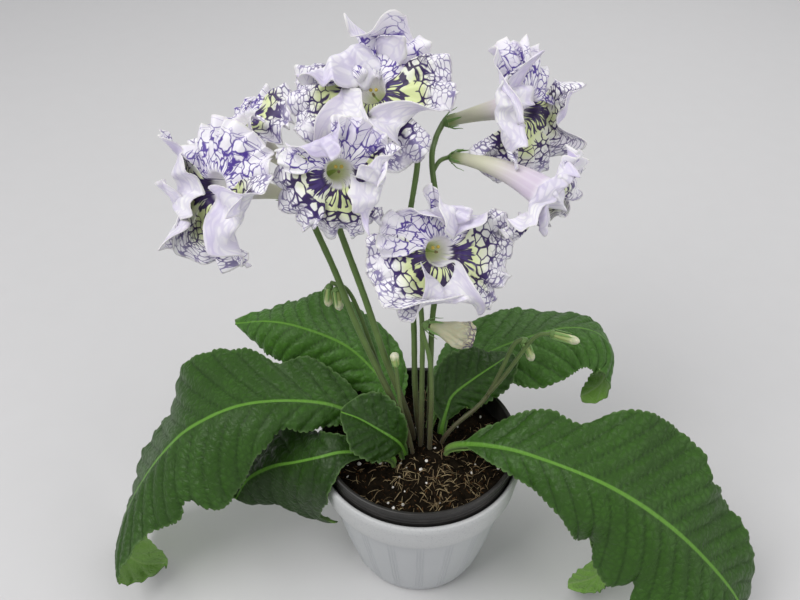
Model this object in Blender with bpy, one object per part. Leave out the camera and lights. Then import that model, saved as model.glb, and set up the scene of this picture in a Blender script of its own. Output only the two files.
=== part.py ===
"""Cape primrose in flower: a pale outer pot, a black nursery pot, soil, a rosette of leaves,
stalks with buds, and ruffled five-lobed blooms. Metres, +Z up, origin at the centre of the outer
pot's foot. +Y is away from the viewer."""

import math

import bpy
import numpy as np

MM = 0.001
CLEAR = 0.4 * MM  # gap between pieces that touch

# Outer pot
FOOT_RADIUS = 0.039
OUTER_RIM_Z = 0.0935
COLLAR_RADIUS = 0.0615
COLLAR_FOOT_Z = 0.073
COLLAR_FOOT_RADIUS = 0.0592
COLLAR_INNER_RADIUS = 0.0586
OUTER_WALL = 2.0 * MM
OUTER_FLOOR = 3.0 * MM
POT_SIDES = 32

# Nursery pot
NURSERY_RIM_Z = 0.1025
NURSERY_RIM_RADIUS = 0.0580
NURSERY_BAND_FOOT_Z = 0.0885
NURSERY_FOOT_RADIUS = 0.0345
NURSERY_WALL = 1.3 * MM
NURSERY_FLOOR_Z = OUTER_FLOOR + 0.3 * MM

# Soil
SOIL_Z = 0.0900
SOIL_RINGS = 4
SOIL_SIDES = 24
SOIL_CLOD = 1.6 * MM
HOLE_DEPTH = 9.0 * MM

# Leaves
BLADE = 0.9 * MM
RIB_DEPTH = 3.0 * MM  # how far the midrib stands out below the blade
RIB_WIDTH = 3.2 * MM
RIB_SHARES = [0.4, 1.0, 0.5, 0.1]
PETIOLE_HALF_WIDTH = 2.3 * MM
TIP_HALF_WIDTH = 1.0 * MM
TOOTH = 0.045  # depth of the margin's teeth, as a share of the half width
HALF_PHASE = 2.0  # the right margin's waves lag the left one's by this angle
STATIONS = [0.0, 0.25, 0.5, 0.75, 1.0]  # where along a leaf its halves' angles are given

# Stalks and blooms
STALK_RADIUS = 1.7 * MM
PEDICEL_RADIUS = 1.2 * MM
STALK_SIDES = 5
CUP_FOOT = 1.8 * MM
CUP_RIM = 3.3 * MM
CUP_DEPTH = 2.9 * MM
SEPAL_OUT = 4.2 * MM
SEPAL_THICK = 0.9 * MM
SEPAL_TIP_OUT = 5.6 * MM
SEPAL_LENGTH = 7 * MM
BUD_SHARES = [-0.12, 0.1, 0.4, 0.75, 0.95, 1.0]
BUD_RADII = np.array([1.2, 2.5, 2.6, 3.0, 2.2, 0.7]) * MM
BUD_SIDES = 7
PETAL = 0.7 * MM
TUBE_FOOT_RADIUS = 2.7 * MM
THROAT_RADIUS = 8.5 * MM
TUBE_RINGS = 4
TUBE_SIDES = 8
TUBE_FLARE = 1.25  # 1 is a plain cone, more is a trumpet
TUBE_BEND = 0.5
PISTIL_END = 0.7
LOBE_COLUMNS = 8
LIMB_ROWS = 4
LOBE_HALF_ANGLE = 36
CLEFT_GAP = 0.06  # share of a lobe's angle that is left open at its ends
CLEFT_REACH = 0.6
RUFFLE_POWER = 2.2  # the ruffles grow towards the margin by this power
SWELL = 0.5  # the slow wave across a lobe, as a share of its ruffles
SCALLOP = 0.04
FADED_RINGS = 8
FADED_SIDES = 10
FADED_SHARES = [0, 0.25, 0.6, 0.8, 1.0]
FADED_RADII = np.array([2.6, 4.2, 7.0, 7.6, 4.4]) * MM
LOBES = [(36, 0.88), (108, 1.0), (180, 1.05), (252, 1.0), (324, 0.88)]  # turn from upper, reach

# Holes for stems
LEAF_HOLE = 4.0 * MM
HOLE_SIDES = 5
HOLE_ROOM = 0.45 * MM  # between a stalk and its hole
HOLE_CORNER = 1.25  # a five-sided hole's corner radius over the radius it must clear

# Each leaf, in mm and degrees. The midrib runs from the soil to the tip. A half's bend is the
# angle at which it leaves the midrib, up or down, at the STATIONS; its fill is its width there as
# a share of half_width. Left and right are as seen from the crown, looking out along the leaf.
LEAVES = {
    "left": {
        "midrib": [(-16, 1, 84), (-16.5, 1, 96), (-26, 2.5, 108), (-56, 4, 125), (-97, -3, 132),
                   (-129, -7, 119), (-150, -10, 99), (-170, -14, 70), (-184, -20, 42),
                   (-187, -25, 24), (-176, -29, 14), (-160, -30, 14)],
        "half_width": 58, "petiole": 0.10, "rows": 23, "columns": 7, "waves": 4, "ruffle": 3.5,
        "left_fill": [0.3, 0.6, 0.95, 0.5, 0.7], "right_fill": [0.7, 1.1, 1.08, 0.65, 0.5],
        "left_bend": [-20, -55, -62, -30, 0], "right_bend": [25, 25, 16, 4, 0],
    },
    "right": {
        "midrib": [(15, -5, 84), (15.5, -5, 95), (24, -9, 104), (40, -18, 113), (63, -30, 118),
                   (102, -48, 114), (137, -58, 92), (167, -67, 62), (185, -74, 36), (190, -84, 14)],
        "half_width": 52, "petiole": 0.10, "rows": 21, "columns": 7, "waves": 5, "ruffle": 3.5,
        "left_fill": [0.5, 1.0, 1.15, 0.85, 0.6], "right_fill": [0.3, 0.55, 1.0, 1.0, 0.8],
        "left_bend": [20, 22, 20, 12, 0], "right_bend": [-5, -35, -66, -40, -10],
    },
    "back_left": {
        "midrib": [(-8, 14, 84), (-8, 14.5, 96), (-15, 24, 107), (-28, 38, 119), (-46, 47, 132),
                   (-73, 54, 140), (-95, 63, 137), (-118, 76, 124)],
        "half_width": 46, "petiole": 0.14, "rows": 17, "columns": 7, "waves": 3, "ruffle": 2.5,
        "pointed": True,
        "left_fill": [0.3, 0.5, 0.7, 0.6, 0.5], "right_fill": [0.5, 0.9, 0.92, 0.8, 0.5],
        "left_bend": [-20, -45, -75, -70, -50], "right_bend": [10, 8, 4, 2, 0],
    },
    "back_right": {
        "midrib": [(6, 14, 84), (6, 14.5, 96), (12, 25, 104.5), (24, 40, 112), (44, 55, 118),
                   (70, 60, 127), (94, 64, 131), (113, 62, 128), (124, 57, 115), (119, 49, 97),
                   (105, 44, 88)],
        "half_width": 52, "petiole": 0.10, "rows": 19, "columns": 7, "waves": 3, "ruffle": 3.0,
        "left_fill": [0.5, 0.95, 0.9, 0.5, 0.4], "right_fill": [0.3, 0.5, 0.75, 0.6, 0.4],
        "left_bend": [25, 25, 16, 5, 0], "right_bend": [-30, -35, -50, -40, 0],
    },
    "mid_right": {
        "midrib": [(13.5, 9, 84), (13.5, 9.5, 96), (17, 18, 106), (21, 24, 112), (34, 31, 119),
                   (47, 38, 124), (57, 46, 125)],
        "half_width": 25, "petiole": 0.22, "rows": 13, "columns": 7, "waves": 2, "ruffle": 1.5,
        "left_fill": [0.6, 1.0, 1.0, 0.8, 0.6], "right_fill": [0.5, 0.7, 0.7, 0.7, 0.6],
        "left_bend": [35, 35, 25, 15, 0], "right_bend": [-10, -35, -40, -30, 0],
    },
    "front_small": {
        "midrib": [(-8.5, -8, 84), (-9, -8, 96), (-13, -9.5, 107), (-24, -10, 118),
                   (-35, -9, 126), (-45, -7, 129)],
        "half_width": 22, "petiole": 0.25, "rows": 11, "columns": 7, "waves": 2, "ruffle": 1.0,
        "left_fill": [0.4, 0.9, 1.05, 0.9, 0.6], "right_fill": [0.2, 0.5, 0.9, 0.85, 0.6],
        "left_bend": [-5, -20, -25, -20, 0], "right_bend": [40, 66, 62, 45, 20],
    },
    "lower_left": {
        "midrib": [(-14, -13, 84), (-14.5, -13, 95), (-22, -15, 103), (-34, -19, 109),
                   (-46, -22, 112), (-58, -23, 109), (-72, -18, 99), (-88, -12, 88),
                   (-104, -8, 72), (-114, -8, 52)],
        "half_width": 59, "petiole": 0.12, "rows": 17, "columns": 7, "waves": 3, "ruffle": 2.5,
        "left_fill": [0.3, 0.15, 0.6, 1.1, 0.8], "right_fill": [0.2, 0.3, 0.4, 0.5, 0.4],
        "left_bend": [0, 0, -40, -72, -70], "right_bend": [0, 0, -8, -8, 0],
    },
    "under_left": {
        "midrib": [(-21, 9, 84), (-21.5, 9, 95), (-31, 9.5, 102), (-44, 10, 105.5), (-57, 11, 106.5),
                   (-67, 12, 100), (-71, 12, 80), (-71, 11, 55), (-68, 9, 32)],
        "half_width": 20, "petiole": 0.3, "rows": 12, "columns": 5, "waves": 2, "ruffle": 1.5,
        "left_fill": [0.3, 0.4, 0.8, 1.0, 0.8], "right_fill": [0.3, 0.4, 0.8, 1.0, 0.8],
        "left_bend": [0, 0, 0, 0, 0], "right_bend": [0, 0, 0, 0, 0],
    },
    "under_right": {
        "midrib": [(23, -2, 84), (23.5, -2, 95), (32, -5, 101), (44, -9, 106), (58, -14, 109),
                   (72, -20, 101), (88, -26, 80), (106, -33, 55), (115, -38, 32),
                   (109, -42, 18), (92, -45, 15)],
        "half_width": 25, "petiole": 0.28, "rows": 15, "columns": 5, "waves": 2, "ruffle": 1.5,
        "left_fill": [0.3, 0.4, 0.8, 1.0, 0.9], "right_fill": [0.3, 0.35, 0.5, 0.75, 0.8],
        "left_bend": [0, 5, 5, 0, 0], "right_bend": [0, 0, 0, 0, 0],
    },
    "young": {
        "midrib": [(-14.5, 8.5, 84), (-14.5, 9, 95), (-20, 13, 101.5), (-28, 17.5, 105.5),
                   (-37, 22, 107.5), (-45, 25, 107)],
        "half_width": 13, "petiole": 0.2, "rows": 11, "columns": 5, "waves": 3, "ruffle": 1.2,
        "left_fill": [0.4, 0.7, 0.9, 0.9, 0.6], "right_fill": [0.4, 0.6, 0.6, 0.6, 0.5],
        "left_bend": [0, -5, -5, 0, 0], "right_bend": [0, 5, 5, 0, 0],
    },
}

# Each open bloom, in mm and degrees. A lobe's lean is how far it tips forward from flat; curl
# bends all lobes further at their ends, back when negative. Lobes run clockwise from the upper.
BLOOMS = {
    "left_front": {
        "foot": (-71, 61, 230), "mouth": (-106, 37, 249), "facing": (-0.62, -0.70, 0.35),
        "upper": (0, 0, 1), "radius": 42, "ruffle": 4.0, "curl": -34, "lean": [14, 22, 16, 24, 14],
    },
    "left_back": {
        "foot": (-70, 70, 242), "mouth": (-99, 88, 260), "facing": (-0.45, -0.12, 0.88),
        "upper": (0, 1, 0.2), "radius": 33, "ruffle": 3.6, "curl": -26, "lean": [10, 20, 42, 30, 12],
    },
    "middle": {
        "foot": (-54, 62, 241), "mouth": (-42, 26, 264), "facing": (0.02, -0.93, 0.30),
        "upper": (0, 0, 1), "radius": 34, "ruffle": 3.8, "curl": -34, "lean": [26, 20, 10, 20, 26],
    },
    "top": {
        "foot": (-12, 101, 259), "mouth": (-27, 80, 284), "facing": (-0.1, -0.66, 0.74),
        "upper": (0, 0.7, 0.7), "radius": 45, "ruffle": 4.2, "curl": -30, "lean": [20, 26, 18, 26, 20],
    },
    "right_upper": {
        "foot": (15, 96, 257), "mouth": (57, 90, 270), "facing": (0.63, -0.67, 0.39),
        "upper": (0.04, 0.53, 0.85), "radius": 42, "ruffle": 4.0, "curl": -34,
        "lean": [16, 12, 16, 24, 20],
    },
    "right_lower": {
        "foot": (18, 75, 246), "mouth": (65, 43, 242), "facing": (0.72, -0.62, -0.30),
        "upper": (0.3, 0, 1), "radius": 32, "ruffle": 3.6, "curl": -30, "lean": [28, 20, 14, 20, 28],
    },
    "front": {
        "foot": (-1, 53, 201), "mouth": (9.5, 20, 221), "facing": (0.24, -0.78, 0.58),
        "upper": (0, 0, 1), "radius": 40, "ruffle": 4.0, "curl": -30, "lean": [24, 28, 16, 20, 24],
    },
    "faded": {
        "foot": (4, 16, 174), "mouth": (29, 13, 168), "facing": (0.9, -0.15, -0.15),
        "upper": (0, 0, 1),
    },
}

# Each stalk, in mm: its path from the soil, its branches, its blooms, and its buds as tip,
# direction and length.
STALKS = {
    "far_left": {
        "path": [(-6.5, 0, 84), (-8, 0.5, 100), (-13, 4, 118), (-24, 13, 142), (-36, 23, 168),
                 (-48, 37, 196), (-58, 49, 215), (-64, 58, 226)],
        "rings": 11, "girth": 1.15, "blooms": ["left_front", "left_back"],
        "branches": [[(-58, 49, 215), (-62, 58, 228)]],
    },
    "left": {
        "path": [(-3.5, 5.5, 84), (-5, 6, 102), (-11, 9, 125), (-20, 15, 150), (-31, 26, 185),
                 (-41, 37, 212), (-48, 48, 228)],
        "rings": 11, "girth": 1.15, "blooms": ["middle"],
    },
    "bud_left": {
        "path": [(-9, 6.5, 84), (-13, 9, 105), (-24, 18, 140), (-35, 30, 172), (-42, 37, 183),
                 (-51, 43, 183)],
        "rings": 11, "girth": 0.8,
        "buds": [((-52, 42, 181), (-0.1, -0.2, -1), 13), ((-48, 39, 181), (0.15, -0.3, -1), 13)],
    },
    "centre_left": {
        "path": [(1.8, 7, 84), (-1, 9, 105), (-3, 13, 135), (-4, 29, 170), (-8, 47, 206),
                 (-2, 67, 248), (-5, 84, 255)],
        "rings": 12, "blooms": ["top"],
    },
    "centre_right": {
        "path": [(7, 4.5, 84), (6, 7, 105), (6, 13, 135), (7, 29, 170), (12, 46, 205),
                 (6, 66, 245), (8, 82, 253)],
        "rings": 12, "blooms": ["right_upper", "right_lower"],
        "branches": [[(6, 64, 242), (10, 69, 247)]],
    },
    "centre": {
        "path": [(0.5, 0.5, 84), (1, 1, 105), (1, 8, 135), (1, 22, 166), (-1, 39.5, 185)],
        "rings": 9, "girth": 0.9, "blooms": ["front"],
    },
    "faded": {
        "path": [(6, -2.5, 84), (6, -3, 105), (6.5, 2, 135), (5, 9, 155), (1, 15, 170)],
        "rings": 9, "girth": 0.8, "blooms": ["faded"],
    },
    "small_bud": {
        "path": [(-3, -5.5, 84), (-6, -5, 105), (-11, 0, 125), (-13, 6, 142), (-14, 9, 150)],
        "rings": 8, "girth": 0.7, "buds": [((-14, 9, 150), (-0.1, 0.1, 1), 9)],
    },
    "bud_right": {
        "path": [(13, 3, 84), (14.5, 3.3, 95), (22, 6, 105), (34, 11, 114), (41, 15, 122), (48, 20, 137),
                 (54, 25, 151), (59, 27, 154)],
        "rings": 11, "girth": 0.8,
        "branches": [[(40, 14, 121), (50, 18, 134), (62, 24, 152), (68, 26, 158), (76, 27, 158)]],
        "buds": [((60, 27, 153), (0.4, -0.1, -0.9), 16), ((76, 27, 158), (0.9, -0.1, -0.25), 17)],
    },
}

COLOURS = {
    "outer_plastic": ((0.70, 0.72, 0.74, 1), 0.55),
    "nursery_plastic": ((0.025, 0.025, 0.027, 1), 0.42),
    "soil": ((0.035, 0.022, 0.014, 1), 0.95),
    "leaf": ((0.055, 0.17, 0.03, 1), 0.5),
    "stalk": ((0.10, 0.17, 0.035, 1), 0.5),
    "petal": ((0.72, 0.66, 0.82, 1), 0.6),
    "faded_petal": ((0.62, 0.62, 0.42, 1), 0.7),
}


def clear_scene():
    for thing in list(bpy.data.objects):
        bpy.data.objects.remove(thing)


def material(name):
    """The Principled material of that name, made on its first use."""
    found = bpy.data.materials.get(name)
    if found:
        return found
    colour, roughness = COLOURS[name]
    made = bpy.data.materials.new(name)
    made.use_nodes = True
    shader = made.node_tree.nodes["Principled BSDF"]
    shader.inputs["Base Color"].default_value = colour
    shader.inputs["Roughness"].default_value = roughness
    shader.inputs["Metallic"].default_value = 0.0
    return made


def mesh_object(name, points, triangles, finish):
    mesh = bpy.data.meshes.new(name)
    mesh.from_pydata(points.tolist(), [], triangles.tolist())
    mesh.materials.append(material(finish))
    mesh.shade_smooth()
    mesh.set_sharp_from_angle(angle=math.radians(45))
    made = bpy.data.objects.new(name, mesh)
    bpy.context.scene.collection.objects.link(made)
    return made


def thick_sheet(name, top, bottom, sheet, finish):
    """A closed blade: the same triangles on both faces, and a wall along every free edge."""
    count = len(top)
    edges = np.concatenate([sheet[:, [0, 1]], sheet[:, [1, 2]], sheet[:, [2, 0]]])
    codes = edges[:, 0] * count + edges[:, 1]
    free = edges[~np.isin(edges[:, 1] * count + edges[:, 0], codes)]
    a, b = free[:, 0], free[:, 1]
    walls = np.concatenate([np.stack([b, a, a + count], 1), np.stack([b, a + count, b + count], 1)])
    triangles = np.concatenate([sheet, sheet[:, ::-1] + count, walls])
    return mesh_object(name, np.concatenate([top, bottom]), triangles, finish)


def unit(vectors):
    return vectors / np.linalg.norm(vectors, axis=-1, keepdims=True)


def smooth_path(points, count):
    """A Catmull-Rom curve through the points, read at even steps along its length."""
    knots = np.array(points, float)
    ends = np.vstack([2 * knots[0] - knots[1], knots, 2 * knots[-1] - knots[-2]])
    share = np.linspace(0, 1, 24, endpoint=False)[:, None]
    runs = []
    for a, b, c, d in zip(ends, ends[1:], ends[2:], ends[3:]):
        runs.append(0.5 * (2 * b + (c - a) * share + (2 * a - 5 * b + 4 * c - d) * share**2
                           + (3 * b - a - 3 * c + d) * share**3))
    dense = np.vstack(runs + [knots[-1:]])
    length = np.concatenate([[0], np.cumsum(np.linalg.norm(np.diff(dense, axis=0), axis=1))])
    wanted = np.linspace(0, length[-1], count)
    return np.stack([np.interp(wanted, length, dense[:, k]) for k in range(3)], 1)


def frames(path, first_normal):
    """Tangent, side and normal at each point, carried along the path without twisting."""
    tangent = unit(np.gradient(path, axis=0))
    normal = np.zeros_like(path)
    last = np.array(first_normal, float)
    for k, along in enumerate(tangent):
        last = unit(last - along * (last @ along))
        normal[k] = last
    return tangent, np.cross(tangent, normal), normal


def grid_triangles(rows, columns):
    """Two triangles for each cell of a grid of rows by columns of points."""
    corner = (np.arange(rows - 1)[:, None] * columns + np.arange(columns - 1)).ravel()
    across, along = corner + 1, corner + columns
    return np.concatenate([np.stack([corner, across, along + 1], 1),
                           np.stack([corner, along + 1, along], 1)])


def revolve(name, profile, finish, sides=POT_SIDES):
    """A closed turned body from an outline of (radius, height) that starts and ends on the axis."""
    outline = np.array(profile, float)
    ring = outline[1:-1]
    angle = np.arange(sides) * (2 * math.pi / sides)
    around = np.stack([np.cos(angle), np.sin(angle)], 1)
    points = np.concatenate([ring[:, None, :1] * around, np.broadcast_to(ring[:, None, 1:],
                             (len(ring), sides, 1))], 2).reshape(-1, 3)
    poles = np.array([[0, 0, outline[0, 1]], [0, 0, outline[-1, 1]]])
    here = np.arange(sides)
    after = (here + 1) % sides
    triangles = []
    for row in range(len(ring) - 1):
        low, high = row * sides, (row + 1) * sides
        triangles.append(np.stack([low + here, low + after, high + after], 1))
        triangles.append(np.stack([low + here, high + after, high + here], 1))
    first, last = len(points), len(points) + 1
    top = (len(ring) - 1) * sides
    triangles.append(np.stack([np.full(sides, first), after, here], 1))
    triangles.append(np.stack([np.full(sides, last), top + here, top + after], 1))
    return mesh_object(name, np.vstack([points, poles]), np.concatenate(triangles), finish)


def build_outer_pot():
    """A cup with a rounded foot and a flared collar, sloped a little like the real rim."""
    body_top = COLLAR_FOOT_RADIUS - 2.6 * MM
    outline = [
        (0, 0), (FOOT_RADIUS - 3 * MM, 0), (FOOT_RADIUS, 1.2 * MM), (0.0418, 8 * MM),
        (0.0470, 28 * MM), (body_top, COLLAR_FOOT_Z), (COLLAR_FOOT_RADIUS, COLLAR_FOOT_Z + 0.4 * MM),
        (COLLAR_RADIUS, OUTER_RIM_Z - 4 * MM), (COLLAR_RADIUS - 0.4 * MM, OUTER_RIM_Z - 1 * MM),
        (COLLAR_RADIUS - 1.4 * MM, OUTER_RIM_Z), (COLLAR_INNER_RADIUS, OUTER_RIM_Z),
        (body_top - OUTER_WALL, COLLAR_FOOT_Z),
        (0.0470 - OUTER_WALL, 28 * MM), (0.0395, 8 * MM), (0.0370, OUTER_FLOOR), (0, OUTER_FLOOR),
    ]
    return revolve("outer_pot", outline, "outer_plastic")


def nursery_inside(z):
    """Inner radius of the nursery pot at a height, for the soil to follow."""
    heights = [NURSERY_FLOOR_Z, NURSERY_BAND_FOOT_Z - 1 * MM, NURSERY_BAND_FOOT_Z + 1 * MM,
               NURSERY_RIM_Z]
    radii = [NURSERY_FOOT_RADIUS, 0.0545, 0.0560, 0.0568]
    return float(np.interp(z, heights, radii)) - NURSERY_WALL


def build_nursery_pot():
    """A thin tapered pot with a deep band under its lip."""
    band = NURSERY_RIM_RADIUS - 0.5 * MM
    outline = [
        (0, NURSERY_FLOOR_Z), (NURSERY_FOOT_RADIUS, NURSERY_FLOOR_Z),
        (0.0545, NURSERY_BAND_FOOT_Z - 1 * MM), (band - 0.6 * MM, NURSERY_BAND_FOOT_Z),
        (band, NURSERY_RIM_Z - 2.4 * MM), (NURSERY_RIM_RADIUS, NURSERY_RIM_Z - 2 * MM),
        (NURSERY_RIM_RADIUS, NURSERY_RIM_Z - 0.5 * MM), (NURSERY_RIM_RADIUS - 0.8 * MM, NURSERY_RIM_Z),
        (0.0568 - NURSERY_WALL, NURSERY_RIM_Z - 0.6 * MM),
        (nursery_inside(NURSERY_BAND_FOOT_Z + 1 * MM), NURSERY_BAND_FOOT_Z + 1 * MM),
        (nursery_inside(NURSERY_BAND_FOOT_Z - 1 * MM), NURSERY_BAND_FOOT_Z - 1 * MM),
        (nursery_inside(NURSERY_FLOOR_Z + 1.4 * MM), NURSERY_FLOOR_Z + 1.4 * MM),
        (0, NURSERY_FLOOR_Z + 1.4 * MM),
    ]
    return revolve("nursery_pot", outline, "nursery_plastic")


def soil_height(x, y):
    """Clods and hollows: crossed waves of unlike lengths, with a low mound at the crown."""
    waves = (np.sin(x * 310 + 1.3 * np.sin(y * 190)) * np.cos(y * 270 + 0.8)
             + 0.6 * np.sin(x * 560 + 2.1) * np.sin(y * 610 + x * 150))
    mound = 3.0 * MM * np.exp(-(x**2 + y**2) / 0.022**2)
    return SOIL_Z + SOIL_CLOD * 0.7 * waves + mound


def build_soil(holes):
    """A plug of soil that follows the nursery pot's wall, with a plain hole for each stem."""
    sides = np.arange(SOIL_SIDES) * (2 * math.pi / SOIL_SIDES)
    around = np.stack([np.cos(sides), np.sin(sides)], 1)
    edge = nursery_inside(SOIL_Z) - 3 * CLEAR
    rings = []
    for ring in range(1, SOIL_RINGS + 1):
        flat = around * (edge * ring / SOIL_RINGS)
        rings.append(np.column_stack([flat, soil_height(flat[:, 0], flat[:, 1])]))
    floor = NURSERY_FLOOR_Z + 1.4 * MM + CLEAR
    for z in (NURSERY_BAND_FOOT_Z - 1.2 * MM, floor):
        radius = nursery_inside(z) - 2 * CLEAR
        rings.append(np.column_stack([around * radius, np.full(SOIL_SIDES, z)]))
    top, under = np.array([[0, 0, soil_height(0, 0)]]), np.array([[0, 0, floor]])
    points = np.vstack([*rings, top, under])
    here = np.arange(SOIL_SIDES)
    after = (here + 1) % SOIL_SIDES
    faces = [np.stack([np.full(SOIL_SIDES, len(points) - 2), here, after], 1)]
    for row in range(len(rings) - 1):
        inner, outer = row * SOIL_SIDES, (row + 1) * SOIL_SIDES
        faces.append(np.stack([inner + here, outer + here, outer + after], 1))
        faces.append(np.stack([inner + here, outer + after, inner + after], 1))
    last = (len(rings) - 1) * SOIL_SIDES
    faces.append(np.stack([np.full(SOIL_SIDES, len(points) - 1), last + after, last + here], 1))
    soil = mesh_object("soil", points, np.concatenate(faces), "soil")
    cutters = bpy.data.collections.new("stem_holes")
    for start, toward, radius in holes:
        slope = (toward - start) / (toward[2] - start[2])
        path = start + slope * (np.array([SOIL_Z - HOLE_DEPTH, SOIL_Z + HOLE_DEPTH]) - start[2])[:, None]
        cutter = rod(path, [radius, radius], HOLE_SIDES)
        bpy.context.scene.collection.objects.unlink(cutter)
        cutters.objects.link(cutter)
    join(soil, cutters, "DIFFERENCE")
    return soil


def join(base, pieces, operation="UNION"):
    """Applies one Boolean of the collection to the base, then removes the collection's objects."""
    cut = base.modifiers.new("join", "BOOLEAN")
    cut.operation = operation
    cut.operand_type = "COLLECTION"
    cut.collection = pieces
    cut.solver = "MANIFOLD"
    graph = bpy.context.evaluated_depsgraph_get()
    done = bpy.data.meshes.new_from_object(base.evaluated_get(graph))
    base.modifiers.clear()
    base.data = done
    for piece in list(pieces.objects):
        bpy.data.objects.remove(piece)
    bpy.data.collections.remove(pieces)


def rod(path, radii, sides, name="piece", finish="stalk"):
    """A closed round bar along the path, with a radius at each point."""
    path = np.array(path, float)
    radii = np.interp(np.linspace(0, 1, len(path)), np.linspace(0, 1, len(radii)), radii)
    along = unit(path[-1] - path[0])
    helper = np.array([0.3, 1.0, 0.2]) if abs(along[1]) < 0.8 else np.array([1.0, 0.2, 0.3])
    _, side, normal = frames(path, helper)
    angle = np.arange(sides) * (2 * math.pi / sides)
    ring = side[:, None] * np.cos(angle)[:, None] - normal[:, None] * np.sin(angle)[:, None]
    points = (path[:, None] + ring * radii[:, None, None]).reshape(-1, 3)
    here = np.arange(sides)
    after = (here + 1) % sides
    faces = []
    for row in range(len(path) - 1):
        low, high = row * sides, (row + 1) * sides
        faces.append(np.stack([low + here, low + after, high + after], 1))
        faces.append(np.stack([low + here, high + after, high + here], 1))
    start, end = len(points), len(points) + 1
    top = (len(path) - 1) * sides
    faces.append(np.stack([np.full(sides, start), after, here], 1))
    faces.append(np.stack([np.full(sides, end), top + here, top + after], 1))
    return mesh_object(name, np.vstack([points, path[:1], path[-1:]]), np.concatenate(faces), finish)


def eased(share, stations, values):
    """Reads the values at the shares, with level starts and ends between the stations."""
    stations, values = np.array(stations, float), np.array(values, float)
    left = np.clip(np.searchsorted(stations, share, side="right") - 1, 0, len(stations) - 2)
    step = np.clip((share - stations[left]) / (stations[left + 1] - stations[left]), 0, 1)
    return values[left] + (values[left + 1] - values[left]) * step**2 * (3 - 2 * step)


def blade_shape(share, pointed):
    """Half width along the blade as a share: tapered base, broad middle, round or pointed tip."""
    if pointed:
        return share**0.62 * (1 - share**2.2) ** 0.85 / 0.55
    return share**0.62 * (1 - share**3.2) ** 0.55 / 0.67


def build_leaf(name, leaf):
    """A blade swept along its midrib. At each station the left and the right half leave the midrib
    at their own angle, and waves lift the margin, which is cut into round teeth."""
    path = smooth_path(np.array(leaf["midrib"]) * MM, leaf["rows"])
    outward = path[-1] - path[0]
    _, side, normal = frames(path, (-outward[0], -outward[1], np.hypot(outward[0], outward[1])))
    share = np.linspace(0, 1, leaf["rows"])
    blade = np.clip((share - leaf["petiole"]) / (1 - leaf["petiole"]), 0, 1)
    q = np.linspace(-1, 1, leaf["columns"])
    is_left = q < 0
    teeth = 1 + TOOTH * np.where(np.arange(leaf["rows"]) % 2, 1, -1) * (blade > 0)
    least = np.interp(share, [0, leaf["petiole"], 0.9, 1],
                      [PETIOLE_HALF_WIDTH, PETIOLE_HALF_WIDTH, 2 * TIP_HALF_WIDTH, TIP_HALF_WIDTH])
    full = blade_shape(blade, leaf.get("pointed", False)) * leaf["half_width"] * MM * teeth
    reach, angle = [], []
    for half in ("left", "right"):
        reach.append(np.maximum(full * eased(share, STATIONS, leaf[half + "_fill"]), least))
        angle.append(np.radians(eased(share, STATIONS, leaf[half + "_bend"])))
    reach = np.where(is_left, reach[0][:, None], reach[1][:, None]) * q
    angle = np.where(is_left, angle[0][:, None], angle[1][:, None]) * (0.55 + 0.45 * np.abs(q))
    turn = 2 * math.pi * leaf["waves"] * share[:, None] + np.where(is_left, 0, HALF_PHASE)
    wave = leaf["ruffle"] * MM * np.sin(turn) * np.abs(q) ** 1.5 * np.minimum(1, 3 * blade)[:, None]
    lift = np.abs(reach) * np.sin(angle) + wave * np.cos(angle)
    spread = reach * np.cos(angle) - wave * np.sin(angle) * np.sign(q)
    middle = path[:, None] + side[:, None] * spread[..., None] + normal[:, None] * lift[..., None]
    upward = unit(np.cross(np.gradient(middle, axis=1), np.gradient(middle, axis=0)))
    rib = RIB_DEPTH * np.interp(share, [0, leaf["petiole"], 0.6, 1], RIB_SHARES)
    rib = rib[:, None] * np.exp(-(reach / RIB_WIDTH) ** 2)
    top = middle + upward * (BLADE / 2)
    bottom = middle - upward * (BLADE / 2 + rib)[..., None]
    sheet = grid_triangles(leaf["rows"], leaf["columns"])
    return thick_sheet(name, top.reshape(-1, 3), bottom.reshape(-1, 3), sheet, "leaf")


def bloom_axis(bloom, count, start=0.0, end=1.0):
    """The tube's centre line, a curve from its foot that reaches the mouth along the facing."""
    foot, mouth = np.array(bloom["foot"]) * MM, np.array(bloom["mouth"]) * MM
    facing = unit(np.array(bloom["facing"], float))
    bend = mouth - facing * (np.linalg.norm(mouth - foot) * TUBE_BEND)
    share = np.linspace(start, end, count)[:, None]
    return (1 - share) ** 2 * foot + 2 * share * (1 - share) * bend + share**2 * mouth


def bloom_directions(bloom):
    """Facing, upper and right of a bloom: right is the viewer's right, looking into it."""
    facing = unit(np.array(bloom["facing"], float))
    upper = np.array(bloom["upper"], float)
    upper = unit(upper - facing * (upper @ facing))
    return facing, upper, np.cross(upper, facing)


def tube_rings(bloom, upper):
    """Rings of the trumpet from its foot to short of the throat."""
    axis = bloom_axis(bloom, TUBE_RINGS)
    _, side, normal = frames(axis, upper)
    share = np.linspace(0, 1, TUBE_RINGS)
    radius = TUBE_FOOT_RADIUS + (THROAT_RADIUS - TUBE_FOOT_RADIUS) * share**TUBE_FLARE
    turn = np.arange(TUBE_SIDES) * (2 * math.pi / TUBE_SIDES)
    ring = normal[:, None] * np.cos(turn)[:, None] - side[:, None] * np.sin(turn)[:, None]
    return (axis[:, None] + ring * radius[:, None, None])[:-1]


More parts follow.
